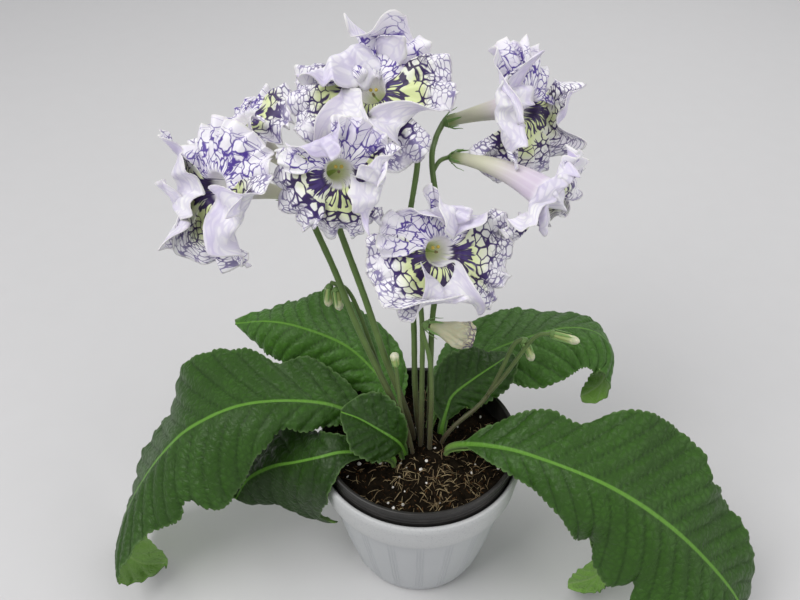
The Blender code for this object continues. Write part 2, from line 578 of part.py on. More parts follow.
def lobe_rows(bloom, number, directions):
    """Rows of points out one lobe: it leaves the throat at the lobe's lean, curls as it goes out,
    spreads from its clefts to a round end, and its margin is pulled up and down in ruffles."""
    facing, upper, right = directions
    centre, reach = LOBES[number]
    out = np.arange(1, LIMB_ROWS + 1)[:, None] / LIMB_ROWS
    t = np.linspace(-1, 1, LOBE_COLUMNS + 1)
    outline = CLEFT_REACH + (1 - CLEFT_REACH) * (1 - np.abs(t) ** 2.6) ** 0.6
    column = np.arange(len(t))
    turn = 2.3 * number + bloom["radius"]
    ripple = np.where(column % 2, 1.0, -1.0) * (0.8 + 0.2 * np.sin(1.7 * column + turn))
    swell = SWELL * np.sin(1.1 * math.pi * t + turn)
    length = (bloom["radius"] * MM * reach - THROAT_RADIUS) * out * outline * (1 + SCALLOP * ripple * out)
    angle = np.radians(bloom["lean"][number] + bloom["curl"] * out)
    around = np.radians(centre + t * LOBE_HALF_ANGLE * (1 - CLEFT_GAP * (0.3 + 0.7 * out)))
    wave = (ripple * out**RUFFLE_POWER + swell * out) * bloom["ruffle"] * MM
    far = THROAT_RADIUS + length * np.cos(angle) - wave * np.sin(angle)
    lift = length * np.sin(angle) + wave * np.cos(angle)
    flat = upper * np.cos(around)[..., None] + right * np.sin(around)[..., None]
    return np.array(bloom["mouth"]) * MM + flat * far[..., None] + facing * lift[..., None]


def build_bloom(name, bloom):
    """A trumpet that opens into five ruffled lobes, one thin body with a cleft between lobes."""
    directions = bloom_directions(bloom)
    facing, upper, right = directions
    tube = tube_rings(bloom, upper)
    columns = len(LOBES) * LOBE_COLUMNS
    first_turn = LOBES[0][0] - LOBE_HALF_ANGLE
    turn = np.radians(first_turn + np.arange(columns) * (360 / columns))
    throat = np.array(bloom["mouth"]) * MM + THROAT_RADIUS * (
        upper * np.cos(turn)[:, None] + right * np.sin(turn)[:, None])
    faces = []
    for row in range(len(tube) - 1):
        for k in range(TUBE_SIDES):
            a, b = row * TUBE_SIDES + k, row * TUBE_SIDES + (k + 1) % TUBE_SIDES
            faces += [(a, b + TUBE_SIDES, b), (a, a + TUBE_SIDES, b + TUBE_SIDES)]
    last, first = (len(tube) - 1) * TUBE_SIDES, len(tube) * TUBE_SIDES
    step = columns // TUBE_SIDES
    for k in range(TUBE_SIDES):
        a, b = last + k, last + (k + 1) % TUBE_SIDES
        arc = [first + (k * step + j) % columns for j in range(step + 1)]
        faces += [(a, arc[j], arc[j + 1]) for j in range(step // 2)]
        faces += [(a, arc[step // 2], b)]
        faces += [(b, arc[j], arc[j + 1]) for j in range(step // 2, step)]
    points = [tube.reshape(-1, 3), throat]
    count = first + columns
    for number in range(len(LOBES)):
        points.append(lobe_rows(bloom, number, directions).reshape(-1, 3))
        inner = [first + (number * LOBE_COLUMNS + j) % columns for j in range(LOBE_COLUMNS + 1)]
        for row in range(LIMB_ROWS):
            outer = [count + row * (LOBE_COLUMNS + 1) + j for j in range(LOBE_COLUMNS + 1)]
            for j in range(LOBE_COLUMNS):
                faces += [(inner[j], outer[j], outer[j + 1]), (inner[j], outer[j + 1], inner[j + 1])]
            inner = outer
        count += LIMB_ROWS * (LOBE_COLUMNS + 1)
    middle, sheet = np.vstack(points), np.array(faces)
    normals = point_normals(middle, sheet)
    return thick_sheet(name, middle + normals * PETAL / 2, middle - normals * PETAL / 2, sheet, "petal")


def point_normals(points, triangles):
    """The mean direction of the triangles round each point, weighted by their area."""
    corners = points[triangles]
    weight = np.cross(corners[:, 1] - corners[:, 0], corners[:, 2] - corners[:, 0])
    total = np.zeros_like(points)
    for k in range(3):
        np.add.at(total, triangles[:, k], weight)
    return unit(total)


def build_calyx(foot, along, hint):
    """A small cup under a tube's foot. Its five sides are drawn out into narrow sepals."""
    along = unit(np.array(along, float))
    upper = unit(np.array(hint, float) - along * (np.array(hint, float) @ along))
    right = np.cross(upper, along)
    corner = np.radians(np.arange(5) * 72 + 20)

    def ring(turn, radius, height):
        flat = upper * np.cos(turn)[:, None] + right * np.sin(turn)[:, None]
        return foot + flat * radius + along * height

    middle = corner + math.radians(36)
    low, rim = ring(corner, CUP_FOOT, -CUP_DEPTH), ring(corner, CUP_RIM, -CLEAR)
    outer = [ring(middle + turn, SEPAL_OUT + SEPAL_THICK, -SEPAL_THICK) for turn in (-0.2, 0.2)]
    inner = [ring(middle + turn, SEPAL_OUT, 0) for turn in (-0.25, 0.25)]
    tip = ring(middle, SEPAL_TIP_OUT, SEPAL_LENGTH)
    points = np.vstack([low, rim, *outer, *inner, tip])
    low, rim, outer_a, outer_b, inner_a, inner_b, tip = np.arange(len(points)).reshape(-1, 5)
    faces = [(low[0], low[k], low[k + 1]) for k in (1, 2, 3)]
    faces += [(rim[0], rim[k + 1], rim[k]) for k in (1, 2, 3)]
    for k in range(5):
        root = [low[k - 4], low[k], rim[k], rim[k - 4]]
        bend = [outer_b[k], outer_a[k], inner_a[k], inner_b[k]]
        for j in range(4):
            faces += [(root[j - 1], root[j], bend[j]), (root[j - 1], bend[j], bend[j - 1]),
                      (bend[j - 1], bend[j], tip[k])]
    return mesh_object("piece", points, np.array(faces), "stalk")


def build_bud(tip, along, length):
    """A closed bud: a slim club that widens to its blunt end."""
    along = unit(np.array(along, float))
    start, length = np.array(tip) * MM, length * MM
    return rod([start + along * length * share for share in BUD_SHARES], BUD_RADII, BUD_SIDES)


def knob_point(bloom):
    """Where a pedicel meets the knob under a bloom's foot, in mm."""
    axis = bloom_axis(bloom, 9)
    return tuple((axis[0] - unit(axis[1] - axis[0]) * 2.4 * MM) / MM)


def build_stalk(name, stalk):
    """One peduncle with its pedicels, calyxes, pistils and buds, joined as it grew."""
    routes = [stalk["path"], *stalk.get("branches", [])]
    for k, key in enumerate(stalk.get("blooms", [])):
        routes[k] = [*routes[k], knob_point(BLOOMS[key])]
    path = smooth_path(np.array(routes[0]) * MM, stalk["rings"])
    base = rod(path, [STALK_RADIUS * stalk.get("girth", 1.0), STALK_RADIUS * 0.8], STALK_SIDES, name)
    pieces = []
    for branch in routes[1:]:
        pieces.append(rod(smooth_path(np.array(branch) * MM, 7), [PEDICEL_RADIUS] * 2, STALK_SIDES))
    for key in stalk.get("blooms", []):
        bloom = BLOOMS[key]
        axis = bloom_axis(bloom, 3, end=PISTIL_END)
        first = bloom_axis(bloom, FADED_RINGS if key == "faded" else TUBE_RINGS)
        along = first[1] - first[0]
        pieces.append(build_calyx(axis[0], along, bloom["upper"]))
        pistil = np.vstack([axis[0] - unit(along) * 1.0 * MM, axis])
        pieces.append(rod(pistil, [1.0 * MM, 1.0 * MM, 0.8 * MM], 4))
    for tip, along, length in stalk.get("buds", []):
        pieces.append(build_bud(tip, along, length))
    group = bpy.data.collections.new(name + "_pieces")
    for piece in pieces:
        bpy.context.scene.collection.objects.unlink(piece)
        group.objects.link(piece)
    if pieces:
        join(base, group)
    return base


def build_faded_bloom(name, bloom):
    """A spent bloom: the trumpet has fallen in, with its lobes shrunk to a crumpled knot."""
    axis = bloom_axis(bloom, FADED_RINGS, start=0.03)
    turn = np.arange(FADED_SIDES) * (2 * math.pi / FADED_SIDES)
    share = np.linspace(0, 1, FADED_RINGS)
    radius = np.interp(share, FADED_SHARES, FADED_RADII)
    _, side, normal = frames(axis, bloom["upper"])
    crease = 1 + 0.20 * np.sin(3 * turn + 5 * share[:, None]) * share[:, None] ** 0.7
    crease = crease + 0.10 * np.sin(5 * turn - 9 * share[:, None]) * share[:, None]
    ring = normal[:, None] * np.cos(turn)[:, None] - side[:, None] * np.sin(turn)[:, None] * 0.75
    points = (axis[:, None] + ring * (radius[:, None] * crease)[..., None]).reshape(-1, 3)
    faces = []
    for row in range(FADED_RINGS - 1):
        for k in range(FADED_SIDES):
            a, b = row * FADED_SIDES + k, row * FADED_SIDES + (k + 1) % FADED_SIDES
            faces += [(a, b + FADED_SIDES, b), (a, a + FADED_SIDES, b + FADED_SIDES)]
    tip = len(points)
    for k in range(FADED_SIDES):
        a, b = (FADED_RINGS - 1) * FADED_SIDES + k, (FADED_RINGS - 1) * FADED_SIDES + (k + 1) % FADED_SIDES
        faces.append((a, tip, b))
    middle = np.vstack([points, axis[-1:] - unit(axis[-1] - axis[-2]) * 3 * MM])
    normals = point_normals(middle, np.array(faces))
    return thick_sheet(name, middle + normals * PETAL / 2, middle - normals * PETAL / 2,
                       np.array(faces), "faded_petal")


def build_all():
    clear_scene()
    build_outer_pot()
    build_nursery_pot()
    stems = [(leaf["midrib"], LEAF_HOLE) for leaf in LEAVES.values()]
    stems += [(stalk["path"], HOLE_CORNER * (STALK_RADIUS * stalk.get("girth", 1.0) + HOLE_ROOM))
              for stalk in STALKS.values()]
    build_soil([(np.array(path[0]) * MM, np.array(path[1]) * MM, radius) for path, radius in stems])
    for name, leaf in LEAVES.items():
        build_leaf("leaf_" + name, leaf)
    for name, stalk in STALKS.items():
        build_stalk("stalk_" + name, stalk)
    for name, bloom in BLOOMS.items():
        maker = build_faded_bloom if name == "faded" else build_bloom
        maker("bloom_" + name, bloom)


build_all()
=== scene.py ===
"""The looks of a potted cape primrose, laid out as an add-on and run as a script. It loads the
packed frame, then one operator for each group of pieces replaces the plain solids with finished
ones: the two pots, the soil, the leaves, the stalks and the blooms. All lengths are metres in the
frame's own axes: +Z up, +Y away from the viewer, origin at the centre of the outer pot's foot."""

import math

import bpy
import numpy as np
from bpy.props import FloatProperty, FloatVectorProperty, IntProperty, PointerProperty
from mathutils import Matrix


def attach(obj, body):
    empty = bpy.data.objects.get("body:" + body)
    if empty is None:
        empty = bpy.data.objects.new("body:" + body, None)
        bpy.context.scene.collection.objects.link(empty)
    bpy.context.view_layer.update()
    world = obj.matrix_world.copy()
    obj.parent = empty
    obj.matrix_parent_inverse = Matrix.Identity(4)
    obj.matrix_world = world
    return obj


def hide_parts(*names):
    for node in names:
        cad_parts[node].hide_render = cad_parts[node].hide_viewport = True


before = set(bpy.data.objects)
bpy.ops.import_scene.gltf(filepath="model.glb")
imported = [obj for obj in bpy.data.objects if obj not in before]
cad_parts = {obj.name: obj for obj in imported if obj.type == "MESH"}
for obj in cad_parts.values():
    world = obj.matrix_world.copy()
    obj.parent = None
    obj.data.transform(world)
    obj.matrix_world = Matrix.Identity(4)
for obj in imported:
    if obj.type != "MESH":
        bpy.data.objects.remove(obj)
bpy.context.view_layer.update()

bl_info = {
    "name": "Potted Cape Primrose",
    "version": (1, 0, 0),
    "blender": (4, 5, 0),
    "location": "3D View > Sidebar > Primrose",
    "description": "Dresses a packed cape primrose: pots, soil, leaves, stalks and ruffled blooms",
    "category": "Object",
}

MM = 0.001
CLEAR = 0.4 * MM

# Pots, as the frame's own solids are built
OUTER_RIM_Z = 0.0935
COLLAR_FOOT_Z = 0.073
COLLAR_FOOT_RADIUS = 0.0592
COLLAR_RADIUS = 0.0615
NURSERY_RIM_Z = 0.1025
NURSERY_RIM_RADIUS = 0.0580
NURSERY_BAND_FOOT_Z = 0.0885
NURSERY_FOOT_RADIUS = 0.0345
NURSERY_FLOOR_Z = 0.0033
NURSERY_WALL = 1.3 * MM
NURSERY_TOP_RADIUS = 0.0545  # under the band
NURSERY_LIP_RADIUS = 0.0568
SOIL_Z = 0.0900
SOIL_RADIUS = 0.0536
POT_SIDES = 168
SOIL_RINGS = 72
SOIL_SIDES = 300
FIBRE_SEED = 41
GRAIN_SEED = 77

# Leaves
BLADE = 0.8 * MM
RIB_DEPTH = 3.0 * MM
RIB_WIDTH = 3.2 * MM
RIB_SHARES = [0.4, 1.0, 0.5, 0.1]
PETIOLE_HALF_WIDTH = 2.3 * MM
TIP_HALF_WIDTH = 1.0 * MM
HALF_PHASE = 2.0
STATIONS = [0.0, 0.25, 0.5, 0.75, 1.0]

# Stalks and blooms
STALK_RADIUS = 1.7 * MM
PEDICEL_RADIUS = 1.2 * MM
CUP_DEPTH = 2.4 * MM
STALK_SIDES = 16
SEPALS = 5
TUBE_FOOT_RADIUS = 2.7 * MM
THROAT_RADIUS = 8.5 * MM
TUBE_FLARE = 1.25
TUBE_BEND = 0.5
SOLID_COLUMNS = 8  # the ruffles' half waves across a lobe, as in the frame's solids
LOBE_HALF_ANGLE = 36
CLEFT_GAP = 0.06
RUFFLE_POWER = 2.2
SWELL = 0.5
SCALLOP = 0.04
LOBES = [(36, 0.88), (108, 1.0), (180, 1.05), (252, 1.0), (324, 0.88)]  # turn from upper, reach
UPPER_LOBES = (0, 4)
FOLD_START = 0.36  # shares of a lobe's length between which a fold turns it over
FOLD_END = 0.80
PETAL_LIGHT = {"Subsurface_Weight": 0.35, "Subsurface_Scale": 0.0015,
               "Subsurface_Radius": (0.8, 0.7, 0.9)}

# Stage
SENSOR_WIDTH = 36.0
LAMP_AIM = (0.0, 0.0, 0.15)

# Each leaf, in mm and degrees. The midrib runs from the soil to the tip. A half's bend is the
# angle at which it leaves the midrib, up or down, at the STATIONS; its fill is its width there as
# a share of half_width. Left and right are as seen from the crown, looking out along the leaf. A
# notch is (left -1 or right 1, place along the leaf, width along it, depth in mm).
LEAVES = {
    "left": {
        "midrib": [(-16, 1, 84), (-16.5, 1, 96), (-26, 2.5, 108), (-56, 4, 125), (-97, -3, 132),
                   (-129, -7, 119), (-150, -10, 99), (-170, -14, 70), (-184, -20, 42),
                   (-187, -25, 24), (-176, -29, 14), (-160, -30, 14)],
        "half_width": 58, "petiole": 0.10, "waves": 4, "ruffle": 3.5,
        "notches": [(1, 0.30, 0.035, 11), (-1, 0.60, 0.03, 13), (-1, 0.30, 0.03, 6),
                    (1, 0.62, 0.03, 6)],
        "left_fill": [0.3, 0.6, 0.95, 0.55, 0.9], "right_fill": [0.7, 1.1, 1.08, 0.7, 0.8],
        "left_bend": [-20, -55, -62, -30, 0], "right_bend": [25, 25, 16, 4, 0],
    },
    "right": {
        "midrib": [(15, -5, 84), (15.5, -5, 95), (24, -9, 104), (40, -18, 113), (63, -30, 118),
                   (102, -48, 114), (137, -58, 92), (167, -67, 62), (185, -74, 36), (190, -84, 14)],
        "half_width": 52, "petiole": 0.10, "waves": 5, "ruffle": 3.5,
        "notches": [(-1, 0.34, 0.04, 8), (-1, 0.66, 0.03, 7), (1, 0.50, 0.03, 8),
                    (1, 0.64, 0.025, 12)],
        "left_fill": [0.5, 1.0, 1.15, 0.85, 0.6], "right_fill": [0.3, 0.55, 1.0, 1.0, 0.8],
        "left_bend": [20, 22, 20, 12, 0], "right_bend": [-5, -35, -66, -40, -10],
    },
    "back_left": {
        "midrib": [(-8, 14, 84), (-8, 14.5, 96), (-15, 24, 107), (-28, 38, 119), (-46, 47, 132),
                   (-73, 54, 140), (-95, 63, 137), (-118, 76, 124)],
        "half_width": 46, "petiole": 0.14, "waves": 3, "ruffle": 2.5, "pointed": True,
        "left_fill": [0.3, 0.5, 0.7, 0.6, 0.5], "right_fill": [0.5, 0.9, 0.92, 0.8, 0.5],
        "left_bend": [-20, -45, -75, -70, -50], "right_bend": [10, 8, 4, 2, 0],
    },
    "back_right": {
        "midrib": [(6, 14, 84), (6, 14.5, 96), (12, 25, 104.5), (24, 40, 112), (44, 55, 118),
                   (70, 60, 127), (94, 64, 131), (113, 62, 128), (124, 57, 115), (119, 49, 97),
                   (105, 44, 88)],
        "half_width": 52, "petiole": 0.10, "waves": 3, "ruffle": 3.0,
        "left_fill": [0.5, 0.95, 0.9, 0.5, 0.4], "right_fill": [0.3, 0.5, 0.75, 0.6, 0.4],
        "left_bend": [25, 25, 16, 5, 0], "right_bend": [-30, -35, -50, -40, 0],
    },
    "mid_right": {
        "midrib": [(13.5, 9, 84), (13.5, 9.5, 96), (17, 18, 106), (21, 24, 112), (34, 31, 119),
                   (47, 38, 124), (57, 46, 125)],
        "half_width": 25, "petiole": 0.22, "waves": 2, "ruffle": 1.5,
        "left_fill": [0.6, 1.0, 1.0, 0.8, 0.6], "right_fill": [0.5, 0.7, 0.7, 0.7, 0.6],
        "left_bend": [35, 35, 25, 15, 0], "right_bend": [-10, -35, -40, -30, 0],
    },
    "front_small": {
        "midrib": [(-8.5, -8, 84), (-9, -8, 96), (-13, -9.5, 107), (-24, -10, 118),
                   (-35, -9, 126), (-45, -7, 129)],
        "half_width": 22, "petiole": 0.25, "waves": 2, "ruffle": 1.0,
        "left_fill": [0.4, 0.9, 1.05, 0.9, 0.6], "right_fill": [0.2, 0.5, 0.9, 0.85, 0.6],
        "left_bend": [-5, -20, -25, -20, 0], "right_bend": [40, 66, 62, 45, 20],
    },
    "lower_left": {
        "midrib": [(-14, -13, 84), (-14.5, -13, 95), (-22, -15, 103), (-34, -19, 109),
                   (-46, -22, 112), (-58, -23, 109), (-72, -18, 99), (-88, -12, 88),
                   (-104, -8, 72), (-114, -8, 52)],
        "half_width": 59, "petiole": 0.12, "waves": 3, "ruffle": 2.5,
        "left_fill": [0.3, 0.15, 0.6, 1.1, 0.8], "right_fill": [0.2, 0.3, 0.4, 0.5, 0.4],
        "left_bend": [0, 0, -40, -72, -70], "right_bend": [0, 0, -8, -8, 0],
    },
    "under_left": {
        "midrib": [(-21, 9, 84), (-21.5, 9, 95), (-31, 9.5, 102), (-44, 10, 105.5),
                   (-57, 11, 106.5), (-67, 12, 100), (-71, 12, 80), (-71, 11, 55), (-68, 9, 32)],
        "half_width": 20, "petiole": 0.3, "waves": 2, "ruffle": 1.5,
        "left_fill": [0.3, 0.4, 0.8, 1.0, 0.8], "right_fill": [0.3, 0.4, 0.8, 1.0, 0.8],
        "left_bend": [0, 0, 0, 0, 0], "right_bend": [0, 0, 0, 0, 0],
    },
    "under_right": {
        "midrib": [(23, -2, 84), (23.5, -2, 95), (32, -5, 101), (44, -9, 106), (58, -14, 109),
                   (72, -20, 101), (88, -26, 80), (106, -33, 55), (115, -38, 32),
                   (109, -42, 18), (92, -45, 15)],
        "half_width": 25, "petiole": 0.28, "waves": 2, "ruffle": 1.5,
        "left_fill": [0.3, 0.4, 0.8, 1.0, 0.9], "right_fill": [0.3, 0.35, 0.5, 0.75, 0.8],
        "left_bend": [0, 5, 5, 0, 0], "right_bend": [0, 0, 0, 0, 0],
    },
    "young": {
        "midrib": [(-14.5, 8.5, 84), (-14.5, 9, 95), (-20, 13, 101.5), (-28, 17.5, 105.5),
                   (-37, 22, 107.5), (-45, 25, 107)],
        "half_width": 13, "petiole": 0.2, "waves": 3, "ruffle": 1.2,
        "left_fill": [0.4, 0.7, 0.9, 0.9, 0.6], "right_fill": [0.4, 0.6, 0.6, 0.6, 0.5],
        "left_bend": [0, -5, -5, 0, 0], "right_bend": [0, 5, 5, 0, 0],
    },
}

# Each bloom, in mm and degrees. A lobe's lean is how far it tips forward from flat; curl bends all
# lobes further at their ends, back when negative. Lobes run clockwise from the upper. A fold turns
# a lobe's end over: (lobe, place across it from -1 to 1, width, degrees).
BLOOMS = {
    "left_front": {
        "foot": (-71, 61, 230), "mouth": (-106, 37, 249), "facing": (-0.62, -0.70, 0.35),
        "folds": [(3, 0.0, 1.0, 165), (2, 0.7, 0.5, 150), (1, -0.1, 0.5, 170), (0, 0.8, 0.4, 110)],
        "upper": (0, 0, 1), "radius": 42, "ruffle": 4.0, "curl": -34,
        "lean": [14, 22, 16, 24, 14],
    },
    "left_back": {
        "foot": (-70, 70, 242), "mouth": (-99, 88, 260), "facing": (-0.45, -0.12, 0.88),
        "upper": (0, 1, 0.2), "radius": 33, "ruffle": 3.6, "curl": -26,
        "lean": [10, 20, 42, 30, 12],
    },
    "middle": {
        "foot": (-54, 62, 241), "mouth": (-42, 26, 264), "facing": (0.02, -0.93, 0.30),
        "folds": [(4, 0.2, 0.5, 150), (1, 0.0, 0.8, 170), (0, 0.9, 0.4, 120)],
        "upper": (0, 0, 1), "radius": 34, "ruffle": 3.8, "curl": -34,
        "lean": [26, 20, 10, 20, 26],
    },
    "top": {
        "foot": (-12, 101, 259), "mouth": (-27, 80, 284), "facing": (-0.1, -0.66, 0.74),
        "folds": [(4, 0.2, 1.1, 195), (2, 0.3, 0.4, 190), (1, 0.5, 0.35, 150), (0, -0.6, 0.4, 120)],
        "upper": (0, 0.7, 0.7), "radius": 45, "ruffle": 4.2, "curl": -30,
        "lean": [20, 26, 18, 26, 20],
    },
    "right_upper": {
        "foot": (15, 96, 257), "mouth": (57, 90, 270), "facing": (0.63, -0.67, 0.39),
        "folds": [(3, 0.5, 1.2, 165), (1, -0.2, 0.5, 150), (4, -0.9, 0.5, 150)],
        "upper": (0.04, 0.53, 0.85), "radius": 42, "ruffle": 4.0, "curl": -34,
        "lean": [16, 12, 16, 24, 20],
    },
    "right_lower": {
        "foot": (18, 75, 246), "mouth": (65, 43, 242), "facing": (0.72, -0.62, -0.30),
        "folds": [(4, -0.5, 1.0, 150), (3, 0.8, 0.6, 140), (1, 0.3, 0.4, 150)],
        "upper": (0.3, 0, 1), "radius": 32, "ruffle": 3.6, "curl": -30,
        "lean": [28, 20, 14, 20, 28],
    },
    "front": {
        "foot": (-1, 53, 201), "mouth": (9.5, 20, 221), "facing": (0.24, -0.78, 0.58),
        "folds": [(2, 0.1, 0.42, 235), (4, 0.6, 0.6, 150), (0, -0.1, 0.5, 160),
                  (3, -0.8, 0.4, 140)],
        "upper": (0, 0, 1), "radius": 40, "ruffle": 4.0, "curl": -30,
        "lean": [24, 28, 16, 20, 24],
    },
    "faded": {
        "foot": (4, 16, 174), "mouth": (29, 13, 168), "facing": (0.9, -0.15, -0.15),
        "upper": (0, 0, 1),
    },
}

# Each stalk, in mm: its path from the soil, its branches, its blooms, and its buds as tip,
# direction and length.
STALKS = {
    "far_left": {
        "path": [(-6.5, 0, 84), (-8, 0.5, 100), (-13, 4, 118), (-24, 13, 142), (-36, 23, 168),
                 (-48, 37, 196), (-58, 49, 215), (-64, 58, 226)],
        "girth": 1.15, "blooms": ["left_front", "left_back"],
        "branches": [[(-58, 49, 215), (-62, 58, 228)]],
    },
    "left": {
        "path": [(-3.5, 5.5, 84), (-5, 6, 102), (-11, 9, 125), (-20, 15, 150), (-31, 26, 185),
                 (-41, 37, 212), (-48, 48, 228)],
        "girth": 1.15, "blooms": ["middle"],
    },
    "bud_left": {
        "path": [(-9, 6.5, 84), (-13, 9, 105), (-24, 18, 140), (-35, 30, 172), (-42, 37, 183),
                 (-51, 43, 183)],
        "girth": 0.8,
        "buds": [((-52, 42, 181), (-0.1, -0.2, -1), 13), ((-48, 39, 181), (0.15, -0.3, -1), 13)],
    },
    "centre_left": {
        "path": [(1.8, 7, 84), (-1, 9, 105), (-3, 13, 135), (-4, 29, 170), (-8, 47, 206),
                 (-2, 67, 248), (-5, 84, 255)],
        "blooms": ["top"],
    },
    "centre_right": {
        "path": [(7, 4.5, 84), (6, 7, 105), (6, 13, 135), (7, 29, 170), (12, 46, 205),
                 (6, 66, 245), (8, 82, 253)],
        "blooms": ["right_upper", "right_lower"],
        "branches": [[(6, 64, 242), (10, 69, 247)]],
    },
    "centre": {
        "path": [(0.5, 0.5, 84), (1, 1, 105), (1, 8, 135), (1, 22, 166), (-1, 39.5, 185)],
        "girth": 0.9, "blooms": ["front"],
    },
    "faded": {
        "path": [(6, -2.5, 84), (6, -3, 105), (6.5, 2, 135), (5, 9, 155), (1, 15, 170)],
        "girth": 0.8, "blooms": ["faded"],
    },
    "small_bud": {
        "path": [(-3, -5.5, 84), (-6, -5, 105), (-11, 0, 125), (-13, 6, 142), (-14, 9, 150)],
        "girth": 0.7, "buds": [((-14, 9, 150), (-0.1, 0.1, 1), 9)],
    },
    "bud_right": {
        "path": [(13, 3, 84), (14.5, 3.3, 95), (22, 6, 105), (34, 11, 114), (41, 15, 122),
                 (48, 20, 137), (54, 25, 151), (59, 27, 154)],
        "girth": 0.8,
        "branches": [[(40, 14, 121), (50, 18, 134), (62, 24, 152), (68, 26, 158), (76, 27, 158)]],
        "buds": [((60, 27, 153), (0.4, -0.1, -0.9), 16), ((76, 27, 158), (0.9, -0.1, -0.25), 17)],
    },
}

# How bright a green each leaf is, from 0 to 1: younger leaves are brighter, and leaves that lie in
# shade get a low tone as painted shade
TONES = {"left": 0.25, "right": 0.32, "back_left": 0.75, "back_right": 0.7, "mid_right": 0.12,
         "front_small": 0.08, "lower_left": 0.0, "under_left": 0.1, "under_right": 0.5,
         "young": 0.3}


# Surfaces

def unit(vectors):
    return vectors / np.linalg.norm(vectors, axis=-1, keepdims=True)


def smooth_path(points, count):
    """A Catmull-Rom curve through the points, read at even steps along its length."""
    knots = np.array(points, float)
    ends = np.vstack([2 * knots[0] - knots[1], knots, 2 * knots[-1] - knots[-2]])
    share = np.linspace(0, 1, 120, endpoint=False)[:, None]
    runs = []
    for a, b, c, d in zip(ends, ends[1:], ends[2:], ends[3:]):
        runs.append(0.5 * (2 * b + (c - a) * share + (2 * a - 5 * b + 4 * c - d) * share**2
                           + (3 * b - a - 3 * c + d) * share**3))
    dense = np.vstack(runs + [knots[-1:]])
    length = np.concatenate([[0], np.cumsum(np.linalg.norm(np.diff(dense, axis=0), axis=1))])
    wanted = np.linspace(0, length[-1], count)
    return np.stack([np.interp(wanted, length, dense[:, k]) for k in range(3)], 1)


def path_length(path):
    return float(np.linalg.norm(np.diff(path, axis=0), axis=1).sum())


def frames(path, first_normal):
    """Tangent, side and normal at each point, carried along the path without twisting."""
    tangent = unit(np.gradient(path, axis=0))
    normal = np.zeros_like(path)
    last = np.array(first_normal, float)
    for k, along in enumerate(tangent):
        last = unit(last - along * (last @ along))
        normal[k] = last
    return tangent, np.cross(tangent, normal), normal


def grid_quads(rows, columns, wrap=False):
    """Quads of a grid of rows by columns of points, closed round its columns when wrap is set."""
    here = np.arange(columns if wrap else columns - 1)
    after = (here + 1) % columns
    base = np.arange(rows - 1)[:, None] * columns
    return np.stack([base + here, base + after, base + columns + after, base + columns + here],
                    2).reshape(-1, 4)


def cap_quads(sides, first, turned):
    """Quads that close a ring with an even number of sides, in strips from side to side."""
    k = np.arange(sides // 2 - 1)
    cap = first + np.stack([k, k + 1, sides - 2 - k, sides - 1 - k], 1)
    return cap[:, ::-1] if turned else cap


def tube_quads(rings, sides):
    """Quads of a tube of rings, closed at both ends."""
    return np.vstack([grid_quads(rings, sides, wrap=True), cap_quads(sides, 0, True),
                      cap_quads(sides, (rings - 1) * sides, False)])


def full_turn(sides):
    return np.arange(sides) * (2 * math.pi / sides)


def point_normals(points, quads):
    """The mean direction of the quads round each point, weighted by their area."""
    corners = points[quads]
    weight = np.cross(corners[:, 2] - corners[:, 0], corners[:, 3] - corners[:, 1])
    total = np.zeros_like(points)
    for k in range(4):
        np.add.at(total, quads[:, k], weight)
    return unit(total + 1e-15)


def thicken(middle, quads, above, below):
    """A closed sheet: the surface moved out by above and in by below along its normals, the inner
    side turned over, and a wall along every free edge. Returns points and the three quad groups."""
    normals = point_normals(middle, quads)
    count = len(middle)
    points = np.vstack([middle + normals * np.reshape(above, (-1, 1)),
                        middle - normals * np.reshape(below, (-1, 1))])
    edges = np.concatenate([quads[:, [k, (k + 1) % 4]] for k in range(4)])
    free = edges[~np.isin(edges[:, 1] * count + edges[:, 0], edges[:, 0] * count + edges[:, 1])]
    a, b = free[:, 0], free[:, 1]
    walls = np.stack([b, a, a + count, b + count], 1)
    return points, quads, quads[:, ::-1] + count, walls


def put_mesh(name, points, groups, finishes, fields=None, flat=None):
    """One mesh object at the origin from whole arrays. Each group of quads takes the finish of the
    same number. Fields are one value per point, and flat is the pattern's own map of the points."""
    faces = np.concatenate(groups)
    slots = np.concatenate([np.full(len(group), k, np.int32) for k, group in enumerate(groups)])
    mesh = bpy.data.meshes.new(name)
    mesh.vertices.add(len(points))
    mesh.vertices.foreach_set("co", points.astype(np.float32).ravel())
    mesh.loops.add(faces.size)
    mesh.loops.foreach_set("vertex_index", faces.astype(np.int32).ravel())
    mesh.polygons.add(len(faces))
    mesh.polygons.foreach_set("loop_start", np.arange(0, faces.size, 4, dtype=np.int32))
    mesh.update(calc_edges=True)
    for finish in finishes:
        mesh.materials.append(finish)
    mesh.polygons.foreach_set("material_index", np.minimum(slots, len(finishes) - 1))
    for key, values in (fields or {}).items():
        layer = mesh.attributes.new(key, "FLOAT", "POINT")
        layer.data.foreach_set("value", np.broadcast_to(values, len(points)).astype(np.float32))
    if flat is not None:
        layer = mesh.uv_layers.new(name="UVMap")
        layer.data.foreach_set("uv", flat[faces.ravel()].astype(np.float32).ravel())
    mesh.validate()
    mesh.shade_smooth()
    piece = bpy.data.objects.new(name, mesh)
    bpy.context.scene.collection.objects.link(piece)
    return piece


def place(piece, slot, *nodes):
    """Hangs the piece on the root body and hides the frame nodes it stands for. The slot is not
    used.
    """
    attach(piece, "root")
    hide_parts(*nodes)


